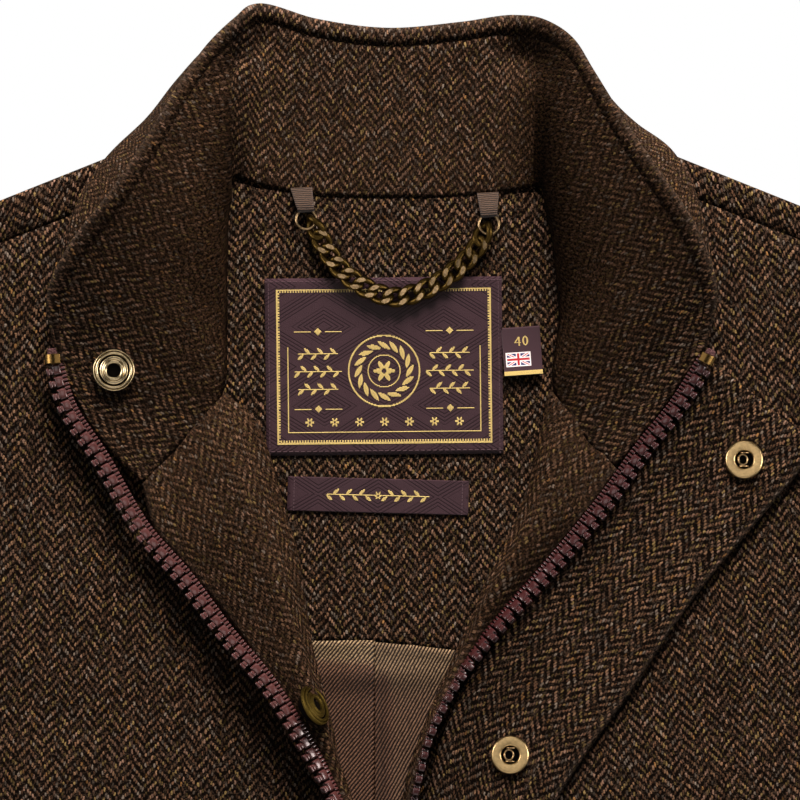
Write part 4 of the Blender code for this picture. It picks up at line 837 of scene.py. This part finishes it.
for side, sign in sides.items():
    rows = [(sign * x, y, z) for x, y, z in zipRows[side]]
    path = along(rows, 700)
    path[:, 0] = sign * np.maximum(sign * path[:, 0], zipper["closedX"])
    closedYs = np.linspace(rows[-1][1], zipper["endY"], 300)[1:]
    path = np.vstack([path, [(sign * zipper["closedX"], y, rows[-1][2]) for y in closedYs]])
    run = runs(path)
    twist = np.array(zipper["twist"][side], float)[::-1]
    copies = []
    for template, gap in ((tooth, zipper["pitch"]), (rib, zipper["ribPitch"])):
        staggered = sign > 0 and gap == zipper["pitch"]  # the left teeth stand between the right ones
        first = zipper["start"][side] + 0.5 * gap + (0.5 * gap if staggered else 0.0)
        for at in np.arange(first, run[-1], gap):
            spot = pathAt(path, run, at)
            ahead = pathAt(path, run, at + 0.8) - pathAt(path, run, at - 0.8)
            ahead /= np.linalg.norm(ahead)
            out = -sign * np.array([ahead[1], -ahead[0], 0.0])
            out /= np.linalg.norm(out)
            up = np.array((0.0, 0.0, 1.0))
            stray = dice.normal(0.0, zipper["strayTwist"])
            turned = math.radians(np.interp(spot[1], twist[:, 0], twist[:, 1]) + stray)
            outTurned = math.cos(turned) * out + math.sin(turned) * up
            upTurned = np.cross(ahead, outTurned) * (1.0 if np.cross(ahead, out)[2] > 0 else -1.0)
            copies.append((spot + template[0] @ np.array([outTurned, ahead, upTurned]), template[1]))
    fitPiece(f"{side}_zip_teeth", joinCopies(copies), plastics[side], "moulded_zip", [f"{side}_zip_chain"])
    angle = math.radians(zipper["stopTurn"][side])
    turnZ = np.array([[math.cos(angle), math.sin(angle), 0], [-math.sin(angle), math.cos(angle), 0], [0, 0, 1]])
    clip = np.array([(sign * x * shrink, y, z * shrink) for y, shrink in clipLoops for x, z in clipSection])
    ring, last = len(clipSection), len(clip) - len(clipSection)
    clipFaces = [(k * ring + i, k * ring + (i + 1) % ring, (k + 1) * ring + (i + 1) % ring, (k + 1) * ring + i)
                 for k in range(len(clipLoops) - 1) for i in range(ring)]
    clipFaces += [tuple(range(ring))[::-1], tuple(range(last, last + ring))]
    clipFaces = [polygon[::-1] if sign > 0 else polygon for polygon in clipFaces]
    middle = path[0] - turnZ[1] * 1.0 + np.array((0.0, 0.0, 0.2))
    fitPiece(f"{side}_stop", (clip, clipFaces), metals["clip brass"], "antique_brass", [f"{side}_top_stop"],
             middle, turnZ)
    fitPiece(f"{side}_tape_tip", tapeTip, tape, "moulded_zip", (), middle, turnZ)
print("zip made")


def surfaceFrame(points, x, y):
    gap = np.hypot(points[1:-1, 1:-1, 0] - x, points[1:-1, 1:-1, 1] - y)
    row, column = np.array(np.unravel_index(np.argmin(gap), gap.shape)) + 1
    across = points[row, column + 1] - points[row, column - 1]
    normal = np.cross(across, points[row + 1, column] - points[row - 1, column])
    normal *= np.sign(normal[2]) / np.linalg.norm(normal)
    near = points[row, column]
    z = near[2] - (normal[0] * (x - near[0]) + normal[1] * (y - near[1])) / normal[2]
    return np.array((x, y, z)), normal


def leanTo(normal):
    return np.array(Vector((0, 0, 1)).rotation_difference(Vector(normal)).to_matrix()).T


def tubeOf(path, radius, closed, around=10):
    path = np.asarray(path, float)
    count = len(path)
    if closed:
        ahead = np.roll(path, -1, axis=0) - np.roll(path, 1, axis=0)
    else:
        ahead = np.gradient(path, axis=0)
    ahead /= np.linalg.norm(ahead, axis=1)[:, None]
    aside = np.cross(ahead, (0.0, 0.0, 1.0))
    aside /= np.linalg.norm(aside, axis=1)[:, None]
    above = np.cross(aside, ahead)
    turns = np.linspace(0.0, math.tau, around, endpoint=False)
    verts = np.array([path[i] + radius * (math.cos(t) * aside[i] + math.sin(t) * above[i])
                      for i in range(count) for t in turns])
    last = count if closed else count - 1
    faces = [(i * around + k, i * around + (k + 1) % around, ((i + 1) % count) * around + (k + 1) % around,
              ((i + 1) % count) * around + k) for i in range(last) for k in range(around)]
    if not closed:
        faces += [tuple(range(around))[::-1], tuple((count - 1) * around + k for k in range(around))]
    return verts, faces


# Press snaps: sockets with a wire spring on the flap, ridged eyelets on the turned-out edge.
snaps = {
    "sockets": [(143.4, -105.4), (50.0, -223.2), (29.0, -365.0), (29.0, -507.0), (29.0, -649.0)],
    # place, tilt and its share, lift, finish
    "eyelets": [((-107.7, -69.6), (0.05, 0.02, 1.0), 0.7, 1.2, "worn brass"),
                ((-30.5, -204.3), (0.80, 0.43, 0.43), 1.0, 2.7, "shadowed brass")],
    "socket": [(3.6, -0.6), (3.7, 1.7), (3.85, 2.05), (4.1, 2.22), (4.3, 2.25), (6.7, 2.25), (6.9, 2.24),
               (7.25, 2.1), (7.5, 1.75), (7.62, 1.2), (7.6, 0.0)],
    "eyelet": [(2.6, -0.5), (2.62, 1.3), (2.65, 1.5), (2.76, 2.12), (3.08, 2.44), (3.5, 2.55), (3.92, 2.44),
               (4.24, 2.12), (4.36, 1.75), (4.45, 1.6), (4.9, 1.52), (5.5, 1.46), (5.66, 1.3), (5.7, 0.7), (6.2, 0.7),
               (6.24, 1.3), (6.3, 1.74), (6.5, 2.03), (6.85, 2.15), (7.16, 2.05), (7.4, 1.78), (7.48, 1.4),
               (7.52, 0.95), (7.72, 0.95), (7.76, 1.35), (7.88, 1.52), (8.08, 1.5), (8.28, 1.3), (8.4, 0.9),
               (8.4, 0.0)],
    # painted shade: faces lower than the groove and inside the rim take the near-black hollow material
    "groove": 1.32, "rim": 8.0,  # what is lower than the groove and inside the rim is dark
    "floor": [(0.0, 0.15), (3.8, 0.15)], "hole": [(0.0, 1.15), (2.66, 1.15)], "shank": [(5.2, -0.1), (5.0, -1.0)],
    "springSize": (2.9, 0.62, 0.7), "springPlace": (-0.55, 1.0), "springWire": 0.34, "barWire": 0.3,
    "bars": [[(-1.5, 2.75, 1.1), (1.9, 2.75, 1.1)], [(-1.9, -2.6, 1.1), (1.7, -2.6, 1.1)]],
    "studNodes": ["snap_stud_3", "snap_stud_4", "snap_stud_5"],
}
# Hollows: near-black painted shade with a few brassy specks, for the sockets' floors, the eyelets' holes and the low
# faces of their grooves.
pitLook = {"specksPerMetre": 1500.0, "dark": "#010101", "brassy": "#0c0905"}
pit, add = newMaterial("painted shade hollow")
place = add("place", {})["Object"]
speck = add("noise", {"Vector": place, "Scale": pitLook["specksPerMetre"], "Detail": 2.0})[0]
tone = add("mix", {0: speck, 6: pitLook["dark"], 7: pitLook["brassy"]})[2]
shader = add("bsdf", {"Base Color": tone, "Roughness": 0.9, "Specular IOR Level": 0.05})[0]
add("output", {0: shader})
turns = np.linspace(0.0, math.tau, 24)[:-1]
radius, flatX, flatY = snaps["springSize"]
shift, z = snaps["springPlace"]
spring = [(radius * math.cos(a) * flatX + shift, radius * math.sin(a) * flatY, z) for a in turns]
bars = [tubeOf(bar, snaps["barWire"], False) for bar in snaps["bars"]]
wires = joinCopies([tubeOf(spring, snaps["springWire"], True)] + bars)
for number, (x, y) in enumerate(snaps["sockets"], 1):
    spot, normal = surfaceFrame(flapPoints, x, y)
    placed = {"seat": spot + normal * (0.5 * flap["wall"] + 0.1), "lean": leanTo(normal)}
    fitPiece(f"snap_ring_{number}", lathe(snaps["socket"]), metals["rubbed brass"], "antique_brass",
             [f"snap_socket_{number}"], **placed)
    # painted shade on the socket's floor
    fitPiece(f"snap_floor_{number}", lathe(snaps["floor"]), pit, "antique_brass", **placed)
    fitPiece(f"snap_spring_{number}", wires, metals["ground brass"], "antique_brass", **placed)
carriers = [collarPoints, facingPoints["right"][:, facingShape["columns"] // 2:]]
for number, (((x, y), tilt, share, lift, finish), carrier) in enumerate(zip(snaps["eyelets"], carriers), 1):
    spot, normal = surfaceFrame(carrier, x, y)
    normal = share * np.array(tilt) / np.linalg.norm(tilt) + (1.0 - share) * normal
    normal /= np.linalg.norm(normal)
    placed = {"seat": spot + normal * lift, "lean": leanTo(normal)}
    shankTop, (shankFoot, foot) = snaps["shank"]  # down into the cloth
    verts, faces = lathe(snaps["eyelet"] + [shankTop, (shankFoot, foot - lift)], 72)
    mesh = fitPiece(f"snap_eyelet_ring_{number}", (verts, faces), metals[finish], "antique_brass",
                    [f"snap_eyelet_{number}"], **placed)
    mesh.materials.append(pit)
    # painted shade on the low faces inside the rim
    low, inner = verts[:, 2] < snaps["groove"], np.hypot(verts[:, 0], verts[:, 1]) < snaps["rim"]
    deep = [low[list(polygon)].all() and inner[list(polygon)].any() for polygon in faces]
    mesh.polygons.foreach_set("material_index", np.array(deep, np.int32))
    # a dark disc across the hole: painted shade
    fitPiece(f"snap_eyelet_hole_{number}", lathe(snaps["hole"]), pit, "antique_brass", **placed)
for name in snaps["studNodes"] + ["zip_slider", "zip_pull_tab", "zip_bottom_box"]:
    frame["nodes"][name].data.materials.clear()
    frame["nodes"][name].data.materials.append(metals["worn brass"])
print("snaps made")

# Hanger: grosgrain loops, split rings and a curb chain whose links are ground flat on top.
hanger = {
    "rings": {"right": (-31.6, -9.2), "left": (41.6, -11.2)}, "ringRadius": 4.0, "ringWire": 0.54, "ringZ": 7.3,
    "chain": [(-29.4, -9.6, 7.4), (-25.7, -17.3, 6.8), (-18.7, -28.0, 6.6), (-8.6, -36.2, 6.8), (3.8, -40.4, 6.9),
              (17.0, -36.8, 6.8), (28.2, -29.5, 6.6), (37.2, -19.6, 6.8), (40.6, -12.2, 7.4)],
    "links": 15, "long": 4.4, "wide": 2.95, "wire": 1.32, "flat": 0.44, "strayTilt": 2.0,
    "sideTilt": {"right": 5.0, "left": 17.0}, "endRoll": -0.25 * math.pi, "rollRun": 1.0,
    "loopTop": 8.6, "loopTip": 6.4, "loopWall": 0.5, "loopLean": {"right": -1.9, "left": -0.4}, "loopSkew": 0.5,
    "tipAt": -1.0, "topAt": 8.0, "leanAt": 8.6,  # along the loop, from the ring's wire
    "loop": [(8.6, 4.6), (5.0, 6.8), (1.0, 8.5), (-0.4, 8.4), (-1.1, 7.4), (-0.4, 6.4), (1.2, 5.8), (5.0, 5.2)],
}
centres = along(hanger["chain"], 2 * hanger["links"] + 1)[1::2]
headings = np.gradient(centres, axis=0)
middleLink = 0.5 * (hanger["links"] + 1)
for number, (centre, ahead) in enumerate(zip(centres, headings), 1):
    ahead = ahead / np.linalg.norm(ahead)
    aside = np.cross((0.0, 0.0, 1.0), ahead)
    aside /= np.linalg.norm(aside)
    above = np.cross(ahead, aside)
    side = "right" if number < middleLink else "left"
    tilt = hanger["sideTilt"][side] * (number - middleLink) / (middleLink - 1.0)
    tilt = math.radians(tilt + dice.normal(0.0, hanger["strayTilt"]))
    aside, above = math.cos(tilt) * aside + math.sin(tilt) * above, math.cos(tilt) * above - math.sin(tilt) * aside
    fromStart = max(0.0, 1.0 - (number - 1) / hanger["rollRun"])
    fromEnd = max(0.0, 1.0 - (hanger["links"] - number) / hanger["rollRun"])
    roll = hanger["endRoll"] * (fromEnd - fromStart)
    turns = np.linspace(0.0, math.tau, 80, endpoint=False)
    twist = roll - 0.25 * math.pi * np.cos(turns)
    local = np.stack([hanger["long"] * np.cos(turns), hanger["wide"] * np.sin(turns) * np.cos(twist),
                      hanger["wide"] * np.sin(turns) * np.sin(twist)], axis=1)
    verts, faces = tubeOf(local, hanger["wire"], True, 28)
    limit = verts[:, 2].max() - (hanger["flat"] if roll == 0.0 else 0.0)
    verts[:, 2] = np.minimum(verts[:, 2], limit)
    mesh = fitPiece(f"curb_link_{number:02d}", (verts, faces), metals["aged brass"], "antique_brass",
                    [f"chain_link_{number:02d}"], centre, np.array([ahead, aside, above]))
    mesh.materials.append(metals["ground brass"])
    ground = [int(all(verts[index, 2] >= limit - 1e-6 for index in polygon)) for polygon in faces]
    mesh.polygons.foreach_set("material_index", ground)
    mesh.polygons.foreach_set("use_smooth", [not flag for flag in ground])

# Ribbed grosgrain: dark cross ribs that catch a dull light on their tops.
grosgrainLook = {"ribMm": 0.9, "wavy": 0.8, "bumpMm": 0.2, "dark": "#150f0c", "light": "#524234"}
grosgrain, add = newMaterial("ribbed grosgrain")
uv, rib = wavyRibs(add, grosgrainLook["wavy"], grosgrainLook["ribMm"])
shows = add("span", {0: rib, 1: -0.8, 2: 0.8})[0]
tone = add("mix", {0: shows, 6: grosgrainLook["dark"], 7: grosgrainLook["light"]})[2]
relief = add("bump", {"Strength": 0.6, "Distance": grosgrainLook["bumpMm"] * 0.001, "Height": rib})[0]
shader = add("bsdf", {"Base Color": tone, "Roughness": 0.65, "Sheen Weight": 0.2, "Normal": relief})[0]
add("output", {0: shader})
for side, (x, y) in hanger["rings"].items():
    turns = np.linspace(0.0, math.tau, 48, endpoint=False)
    circle = np.stack([x + hanger["ringRadius"] * np.sin(turns), y + hanger["ringRadius"] * np.cos(turns),
                       hanger["ringZ"] + 0.0 * turns], axis=1)
    wire = tubeOf(circle, hanger["ringWire"], True)
    fitPiece(f"{side}_split_ring", wire, metals["ground brass"], "antique_brass", [f"{side}_ring"])
    wireY = y + hanger["ringRadius"]
    section = along([(wireY + run, z) for run, z in hanger["loop"]], 44)
    wide = np.linspace(-0.5, 0.5, 12)
    tipY, topY, leanY = (wireY + hanger[key] for key in ("tipAt", "topAt", "leanAt"))
    width = np.interp(section[:, 0], [tipY, topY], [hanger["loopTip"], hanger["loopTop"]])
    lean = np.interp(section[:, 0], [tipY, leanY], [0.0, hanger["loopLean"][side]])
    points = np.array([[(x + shift + w * breadth, row[0] + hanger["loopSkew"] * w, row[1]) for w in wide]
                       for row, breadth, shift in zip(section, width, lean)])
    weave = np.stack([runs(points, 1), runs(points)], axis=-1)
    layCloth(f"{side}_loop_ribbon", points, weave, hanger["loopWall"], grosgrain,
             [f"{side}_hanger_loop"])
print("hanger made")

# Woven labels: plum damask with nested diamonds in its own colour, gold figures floating on top.
labels = {
    "main_label": {"centre": (-0.4, -68.0), "size": (95.0, 71.0), "turn": 0.6, "lift": 0.0},
    "lower_label": {"centre": (-2.8, -120.0), "size": (72.6, 13.8), "turn": -1.5, "lift": 0.0},
    "size_tab": {"centre": (54.9, -62.0), "size": (15.4, 19.4), "turn": 4.0, "lift": 3.0},
}
labelLook = {"wall": 0.5, "z": 4.15, "plum": "#3b2b30", "line": "#22171b", "bumpMm": 0.2,
             "diamond": (24.0, 16.0), "diamondSlope": 0.62, "lineMm": 1.5, "bandMm": 5.2, "grainy": 2.4,
             "liftFrom": 0.45}
damask, add = newMaterial("plum damask")
uv = add("weaveUv", {})[0]
u, v = add("splitXyz", {0: uv})[:2]
u = add("pingPong", {0: u, 1: labelLook["diamond"][0]})[0]
v = add("pingPong", {0: v, 1: labelLook["diamond"][1]})[0]
nested = add("timesPlus", {0: u, 1: labelLook["diamondSlope"], 2: v})[0]
line = add("times", {0: nested, 1: math.tau / labelLook["lineMm"]})[0]
line = add("sine", {0: line})[0]
band = add("pingPong", {0: nested, 1: labelLook["bandMm"]})[0]
band = add("span", {0: band, 1: 1.6, 2: 2.4})[0]
line = add("span", {0: line, 1: 0.1, 2: 0.9})[0]
line = add("times", {0: line, 1: band})[0]
grainy = add("flatNoise", {"Vector": uv, "Scale": labelLook["grainy"], "Detail": 2.0})[0]
grainy = add("span", {0: grainy, 1: 0.55, 2: 0.72, 4: 0.6})[0]
line = add("larger", {0: line, 1: grainy})[0]
tone = add("mix", {0: line, 6: labelLook["plum"], 7: labelLook["line"]})[2]
relief = add("bump", {"Strength": 0.5, "Distance": labelLook["bumpMm"] * 0.001, "Height": line}, invert=True)[0]
shader = add("bsdf", {"Base Color": tone, "Roughness": 0.75, "Specular IOR Level": 0.2, "Normal": relief})[0]
add("output", {0: shader})

# Rayon thread: flat bright floats with a low shine.
threadColours = {"gold": "#ccb873", "stitch": "#4c3c40", "white": "#e6e2e0", "red": "#a5262f", "blue": "#2b2f60",
                 "plain": labelLook["plum"]}
threads = {}
for name, colour in threadColours.items():
    threads[name], add = newMaterial(f"{name} thread")
    shader = add("bsdf", {"Base Color": colour, "Roughness": 0.5, "Specular IOR Level": 0.3})[0]
    add("output", {0: shader})


def onLabel(label, u, v, above):
    turn = math.radians(label["turn"])
    x = label["centre"][0] + u * math.cos(turn) - v * math.sin(turn)
    y = label["centre"][1] + u * math.sin(turn) + v * math.cos(turn)
    low = np.clip(labelLook["liftFrom"] - v / label["size"][1], 0.0, 1.0)
    return np.stack([x, y, labelLook["z"] + above + label["lift"] * low**2 + 0.0 * x], axis=-1)


floats = {"step": 0.08, "gap": 0.05, "low": 0.04, "high": 0.16, "wide": 0.95}


def floatThreads(name, label, shows, material, pitch=0.42, longest=1.5):
    width, length = label["size"]
    step, wide, low, high = floats["step"], floats["wide"], floats["low"], floats["high"]
    across = np.arange(-0.5 * width, 0.5 * width, step)
    roof = 0.5 * labelLook["wall"] + np.array([low, low, high, high, low, low])
    verts, faces = [], []
    for v in np.arange(-0.5 * length + 0.3, 0.5 * length - 0.2, pitch):
        flags = np.concatenate([[0], shows(across, np.full_like(across, v)).astype(int), [0]])
        starts, ends = np.where(np.diff(flags) > 0)[0], np.where(np.diff(flags) < 0)[0]
        for start, end in zip(starts, ends):
            parts = max(1, math.ceil((end - start) * step / longest))
            cuts = across[0] + step * np.linspace(start, end, parts + 1)
            for u0, u1 in zip(cuts[:-1], cuts[1:] - floats["gap"]):
                side = v + 0.5 * pitch * np.array([-wide, -wide, 0.0, 0.0, wide, wide])
                count = len(verts) * 6
                verts.append(onLabel(label, np.array([u0, u1, u1, u0, u0, u1]), side, roof))
                faces += [(count, count + 1, count + 2, count + 3), (count + 3, count + 2, count + 5, count + 4)]
    fitPiece(name, (np.vstack(verts), faces), material, "woven_label", smooth=False)


def leaf(u, v, place, degrees, long, wide):
    x, y = u - place[0], v - place[1]
    turn = math.radians(degrees)
    ahead, aside = x * math.cos(turn) + y * math.sin(turn), y * math.cos(turn) - x * math.sin(turn)
    return np.abs(aside) < wide * (1.0 - (ahead / long) ** 2)


def rosette(u, v, place, size):
    x, y = u - place[0], v - place[1]
    reach, angle = np.hypot(x, y), np.arctan2(y, x)
    return (reach < size * (0.72 + 0.28 * np.cos(6.0 * angle))) & (reach > 0.22 * size)


sprigShape = {"stem": 0.24, "first": 1.0, "step": 2.6, "aside": 1.25, "lean": 42.0, "leaf": (1.7, 0.62)}


def sprig(u, v, place, long, sign):
    shows = (np.abs(v - place[1]) < sprigShape["stem"]) & (np.abs(u - place[0]) < 0.5 * long)
    for number, at in enumerate(np.arange(-0.5 * long + sprigShape["first"], 0.5 * long, sprigShape["step"])):
        side = 1.0 if number % 2 else -1.0
        spot = place[0] + at, place[1] + sprigShape["aside"] * side
        shows |= leaf(u, v, spot, sign * side * sprigShape["lean"], *sprigShape["leaf"])
    return shows


# Frame with a ladder edge, a wreath round a rosette, sprigs on both sides and a row of small stars.
figure = {
    "frame": (43.1, 31.1), "frameWide": 0.75, "ladderWide": 1.4, "ladderStep": 1.07, "ladderFill": 0.6,
    "inner": 4.6, "innerTop": 8.0, "line": 0.24, "middle": (0.0, -2.0), "ring": 14.2, "ringLine": 0.34,
    "smallRing": 6.4, "wreath": 10.3, "leafStep": 22.5, "leafLean": 58.0, "leaf": (3.0, 0.95), "rosette": 4.4,
    "sprigU": 26.4, "sprigs": [(5.0, 16.0), (-2.0, 19.0), (-9.0, 16.0)],  # level and length
    "rules": (14.0, -17.0), "diamond": 1.5, "ruleU": 6.2, "ruleHalf": 3.4,
    "starUs": (-30.0, -20.0, -10.0, 0.0, 10.0, 20.0, 30.0), "starV": -22.4, "star": 1.9,
}


def mainFigure(u, v):
    outX, outV = np.abs(u) - figure["frame"][0], np.abs(v) - figure["frame"][1]
    inside = np.maximum(outX, outV)
    ladder = np.mod(np.where(outX > outV, v, u), figure["ladderStep"]) < figure["ladderFill"]
    shows = (inside < 0.0) & (inside > -figure["frameWide"])
    shows |= (inside <= -figure["frameWide"]) & (inside > -figure["ladderWide"]) & ladder
    shows |= (np.abs(inside + figure["inner"]) < figure["line"]) & (v < figure["innerTop"])
    middleU, middleV = figure["middle"]
    ring = np.hypot(u - middleU, v - middleV)
    shows |= np.abs(ring - figure["ring"]) < figure["ringLine"]
    shows |= np.abs(ring - figure["smallRing"]) < figure["line"]
    for angle in np.arange(0.0, 360.0, figure["leafStep"]):
        turn = math.radians(angle)
        spot = figure["wreath"] * math.cos(turn) + middleU, figure["wreath"] * math.sin(turn) + middleV
        shows |= leaf(u, v, spot, angle + figure["leafLean"], *figure["leaf"])
    shows |= rosette(u, v, figure["middle"], figure["rosette"])
    for side in (-1.0, 1.0):
        sideU = side * figure["sprigU"]
        for level, long in figure["sprigs"]:
            shows |= sprig(u, v, (sideU, level), long, side)
        for level in figure["rules"]:
            shows |= np.abs(u - sideU) + np.abs(v - level) < figure["diamond"]
            rule = np.abs(np.abs(u - sideU) - figure["ruleU"]) < figure["ruleHalf"]
            shows |= (np.abs(v - level) < figure["line"]) & rule
    for starU in figure["starUs"]:
        shows |= rosette(u, v, (starU, figure["starV"]), figure["star"])
    return shows


def tabFigure(u, v):
    four = (np.abs(u + 0.95) < 0.3) & (np.abs(v - 4.1) < 1.8)
    four |= (np.abs(v - 3.5) < 0.25) & (np.abs(u + 1.5) < 1.3)
    four |= (np.abs((u + 1.75) * 0.8 - (v - 4.7) * 0.6) < 0.25) & (v > 3.4) & (v < 5.9) & (u < -0.9)
    nought = ((u - 1.55) / 1.2) ** 2 + ((v - 4.1) / 1.85) ** 2 < 1.0
    nought &= ((u - 1.55) / 0.5) ** 2 + ((v - 4.1) / 1.35) ** 2 > 1.0
    return four | nought


def lowerFigure(u, v):
    sprigs = sprig(u, v, (-11.0, 0.0), 19.0, 1.0) | sprig(u, v, (11.0, 0.0), 19.0, -1.0)
    return sprigs | rosette(u, v, (0.0, 0.0), 1.7)


def stripe(u, v):
    return v < -7.9


hems = {  # inset, half the thread's width, step, stitch
    "main sides": (1.4, 0.2, 1.7, 1.1), "main ends": (1.4, 0.22, 2.4, 1.6), "lower sides": (2.6, 0.24, 1.5, 1.0),
}


def hemStitches(fromMiddle, onward, half, inset, thick, step, stitch):
    return (np.abs(np.abs(fromMiddle) - half + inset) < thick) & (np.mod(onward, step) < stitch)


def mainHem(u, v):
    halfWidth, halfLength = 0.5 * np.array(labels["main_label"]["size"])
    return hemStitches(u, v, halfWidth, *hems["main sides"]) | hemStitches(v, u, halfLength, *hems["main ends"])


def lowerHem(u, v):
    return hemStitches(u, v, 0.5 * labels["lower_label"]["size"][0], *hems["lower sides"])


for name, label in labels.items():
    width, length = label["size"]
    u, v = np.meshgrid(np.linspace(-0.5, 0.5, 40) * width, np.linspace(-0.5, 0.5, 30) * length)
    points = onLabel(label, u, v, 0.0)
    material = threads["plain"] if name == "size_tab" else damask
    piece = layCloth(f"{name}_cloth", points, np.dstack([u, v]), labelLook["wall"], material, [name])
floatThreads("main_label_gold", labels["main_label"], mainFigure, threads["gold"])
floatThreads("lower_label_gold", labels["lower_label"], lowerFigure, threads["gold"])
floatThreads("size_tab_number", labels["size_tab"], tabFigure, threads["gold"], 0.3)
floatThreads("size_tab_stripe", labels["size_tab"], stripe, threads["gold"], 0.34, 20.0)
floatThreads("main_label_stitches", labels["main_label"], mainHem, threads["stitch"])
floatThreads("lower_label_stitches", labels["lower_label"], lowerHem, threads["stitch"])

# Country flag of the tab: crosses of red and white on blue, within a white edge.
flag = {"centre": (-1.7, -3.2), "size": (10.0, 5.7), "cells": (66, 38), "edge": 0.45, "above": 0.08,
        "slantWhite": 0.6, "slantRed": 0.2, "crossWhite": 0.85, "crossRed": 0.42}
wide, long = (np.linspace(-0.5, 0.5, cells + 1) * size for cells, size in zip(flag["cells"], flag["size"]))
u, v = np.meshgrid(wide, long)
above = 0.5 * labelLook["wall"] + flag["above"]
points = onLabel(labels["size_tab"], u + flag["centre"][0], v + flag["centre"][1], above)
faces = gridFaces(*u.shape)
cu, cv = (0.25 * (a[:-1, :-1] + a[1:, :-1] + a[:-1, 1:] + a[1:, 1:]).reshape(-1) for a in (u, v))
slope = flag["size"][1] / flag["size"][0]
fromSlant = np.minimum(np.abs(cv - slope * cu), np.abs(cv + slope * cu))
fromCross = np.minimum(np.abs(cu), np.abs(cv))
toEdge = np.minimum(0.5 * flag["size"][0] - np.abs(cu), 0.5 * flag["size"][1] - np.abs(cv))
white, red, blue = 0, 1, 2
tint = np.full(len(faces), blue)
tint[fromSlant < flag["slantWhite"]] = white
tint[fromSlant < flag["slantRed"]] = red
tint[fromCross < flag["crossWhite"]] = white
tint[fromCross < flag["crossRed"]] = red
tint[toEdge < flag["edge"]] = white
mesh = fitPiece("size_tab_flag", (points.reshape(-1, 3), faces.tolist()), threads["white"], "woven_label")
mesh.materials.append(threads["red"])
mesh.materials.append(threads["blue"])
mesh.polygons.foreach_set("material_index", tint)
print("labels woven")

# White paper floor: even and bright, with no texture of its own.
floor = {"size": 6.0, "z": -0.0005, "colour": "#ffffff", "glow": 1.0}
paper, add = newMaterial("white paper")
shader = add("glow", {"Color": floor["colour"], "Strength": floor["glow"]})[0]
add("output", {0: shader})
mesh = bpy.data.meshes.new("floor")
half = floor["size"] / 2
corners = [(x * half, y * half, floor["z"]) for x, y in ((-1, -1), (1, -1), (1, 1), (-1, 1))]
mesh.from_pydata(corners, [], [(0, 1, 2, 3)])
mesh.materials.append(paper)
ground = bpy.data.objects.new("floor", mesh)
bpy.context.scene.collection.objects.link(ground)

lampColour = (1.0, 0.87, 0.83)
neck = (0.0, 0.25, 0.0)
lamps = {  # place, aim, size, power, whether it lights matt and shining surfaces
    "window": ((0.32, 2.93, 1.24), (0.0, 0.2, 0.0), 1.4, 285.0, True, False),
    "overhead": ((0.0, 0.27, 1.85), (0.0, 0.27, 0.0), 0.65, 2.0, True, True),
    "left strip": ((-0.95, 0.4, 0.6), neck, 0.4, 6.5, False, True),
    "right strip": ((0.95, 0.15, 0.6), neck, 0.4, 6.5, False, True),
    "far panel": ((0.0, 1.6, 0.95), neck, 1.3, 6.5, False, True),
    "near panel": ((0.0, -1.05, 0.95), neck, 1.3, 4.5, False, True),
    "left panel": ((-1.35, 0.25, 0.95), neck, 1.3, 6.5, False, True),
    "right panel": ((1.35, 0.25, 0.95), neck, 1.3, 6.5, False, True),
}
for name, (place, aim, size, power, matt, shining) in lamps.items():
    lamp = bpy.data.lights.new(name, "AREA")
    lamp.size = size
    lamp.energy = power
    lamp.color = lampColour
    holder = bpy.data.objects.new(name, lamp)
    holder.location = place
    holder.rotation_euler = (Vector(aim) - Vector(place)).to_track_quat("-Z", "Y").to_euler()
    holder.visible_diffuse = matt
    holder.visible_glossy = shining
    bpy.context.scene.collection.objects.link(holder)

room = {"colour": "#f4f1ec", "strength": 0.06}
sky = bpy.data.worlds.new("room")
sky.use_nodes = True
sky.node_tree.nodes["Background"].inputs["Color"].default_value = linear(room["colour"])
sky.node_tree.nodes["Background"].inputs["Strength"].default_value = room["strength"]
scene = bpy.context.scene
scene.world = sky
print("lamps lit")

# Straight down on the neck, as wide as 320 mm.
view = {"centre": (0.006, 0.22013), "plane": 0.008, "away": 2.0, "lens": 225.0, "sensor": 36.0}
camera = bpy.data.cameras.new("camera")
camera.lens = view["lens"]
camera.sensor_width = view["sensor"]
eye = bpy.data.objects.new("camera", camera)
eye.location = (*view["centre"], view["plane"] + view["away"])
scene.collection.objects.link(eye)
scene.camera = eye
scene.view_settings.view_transform = "Standard"
scene.view_settings.look = "None"
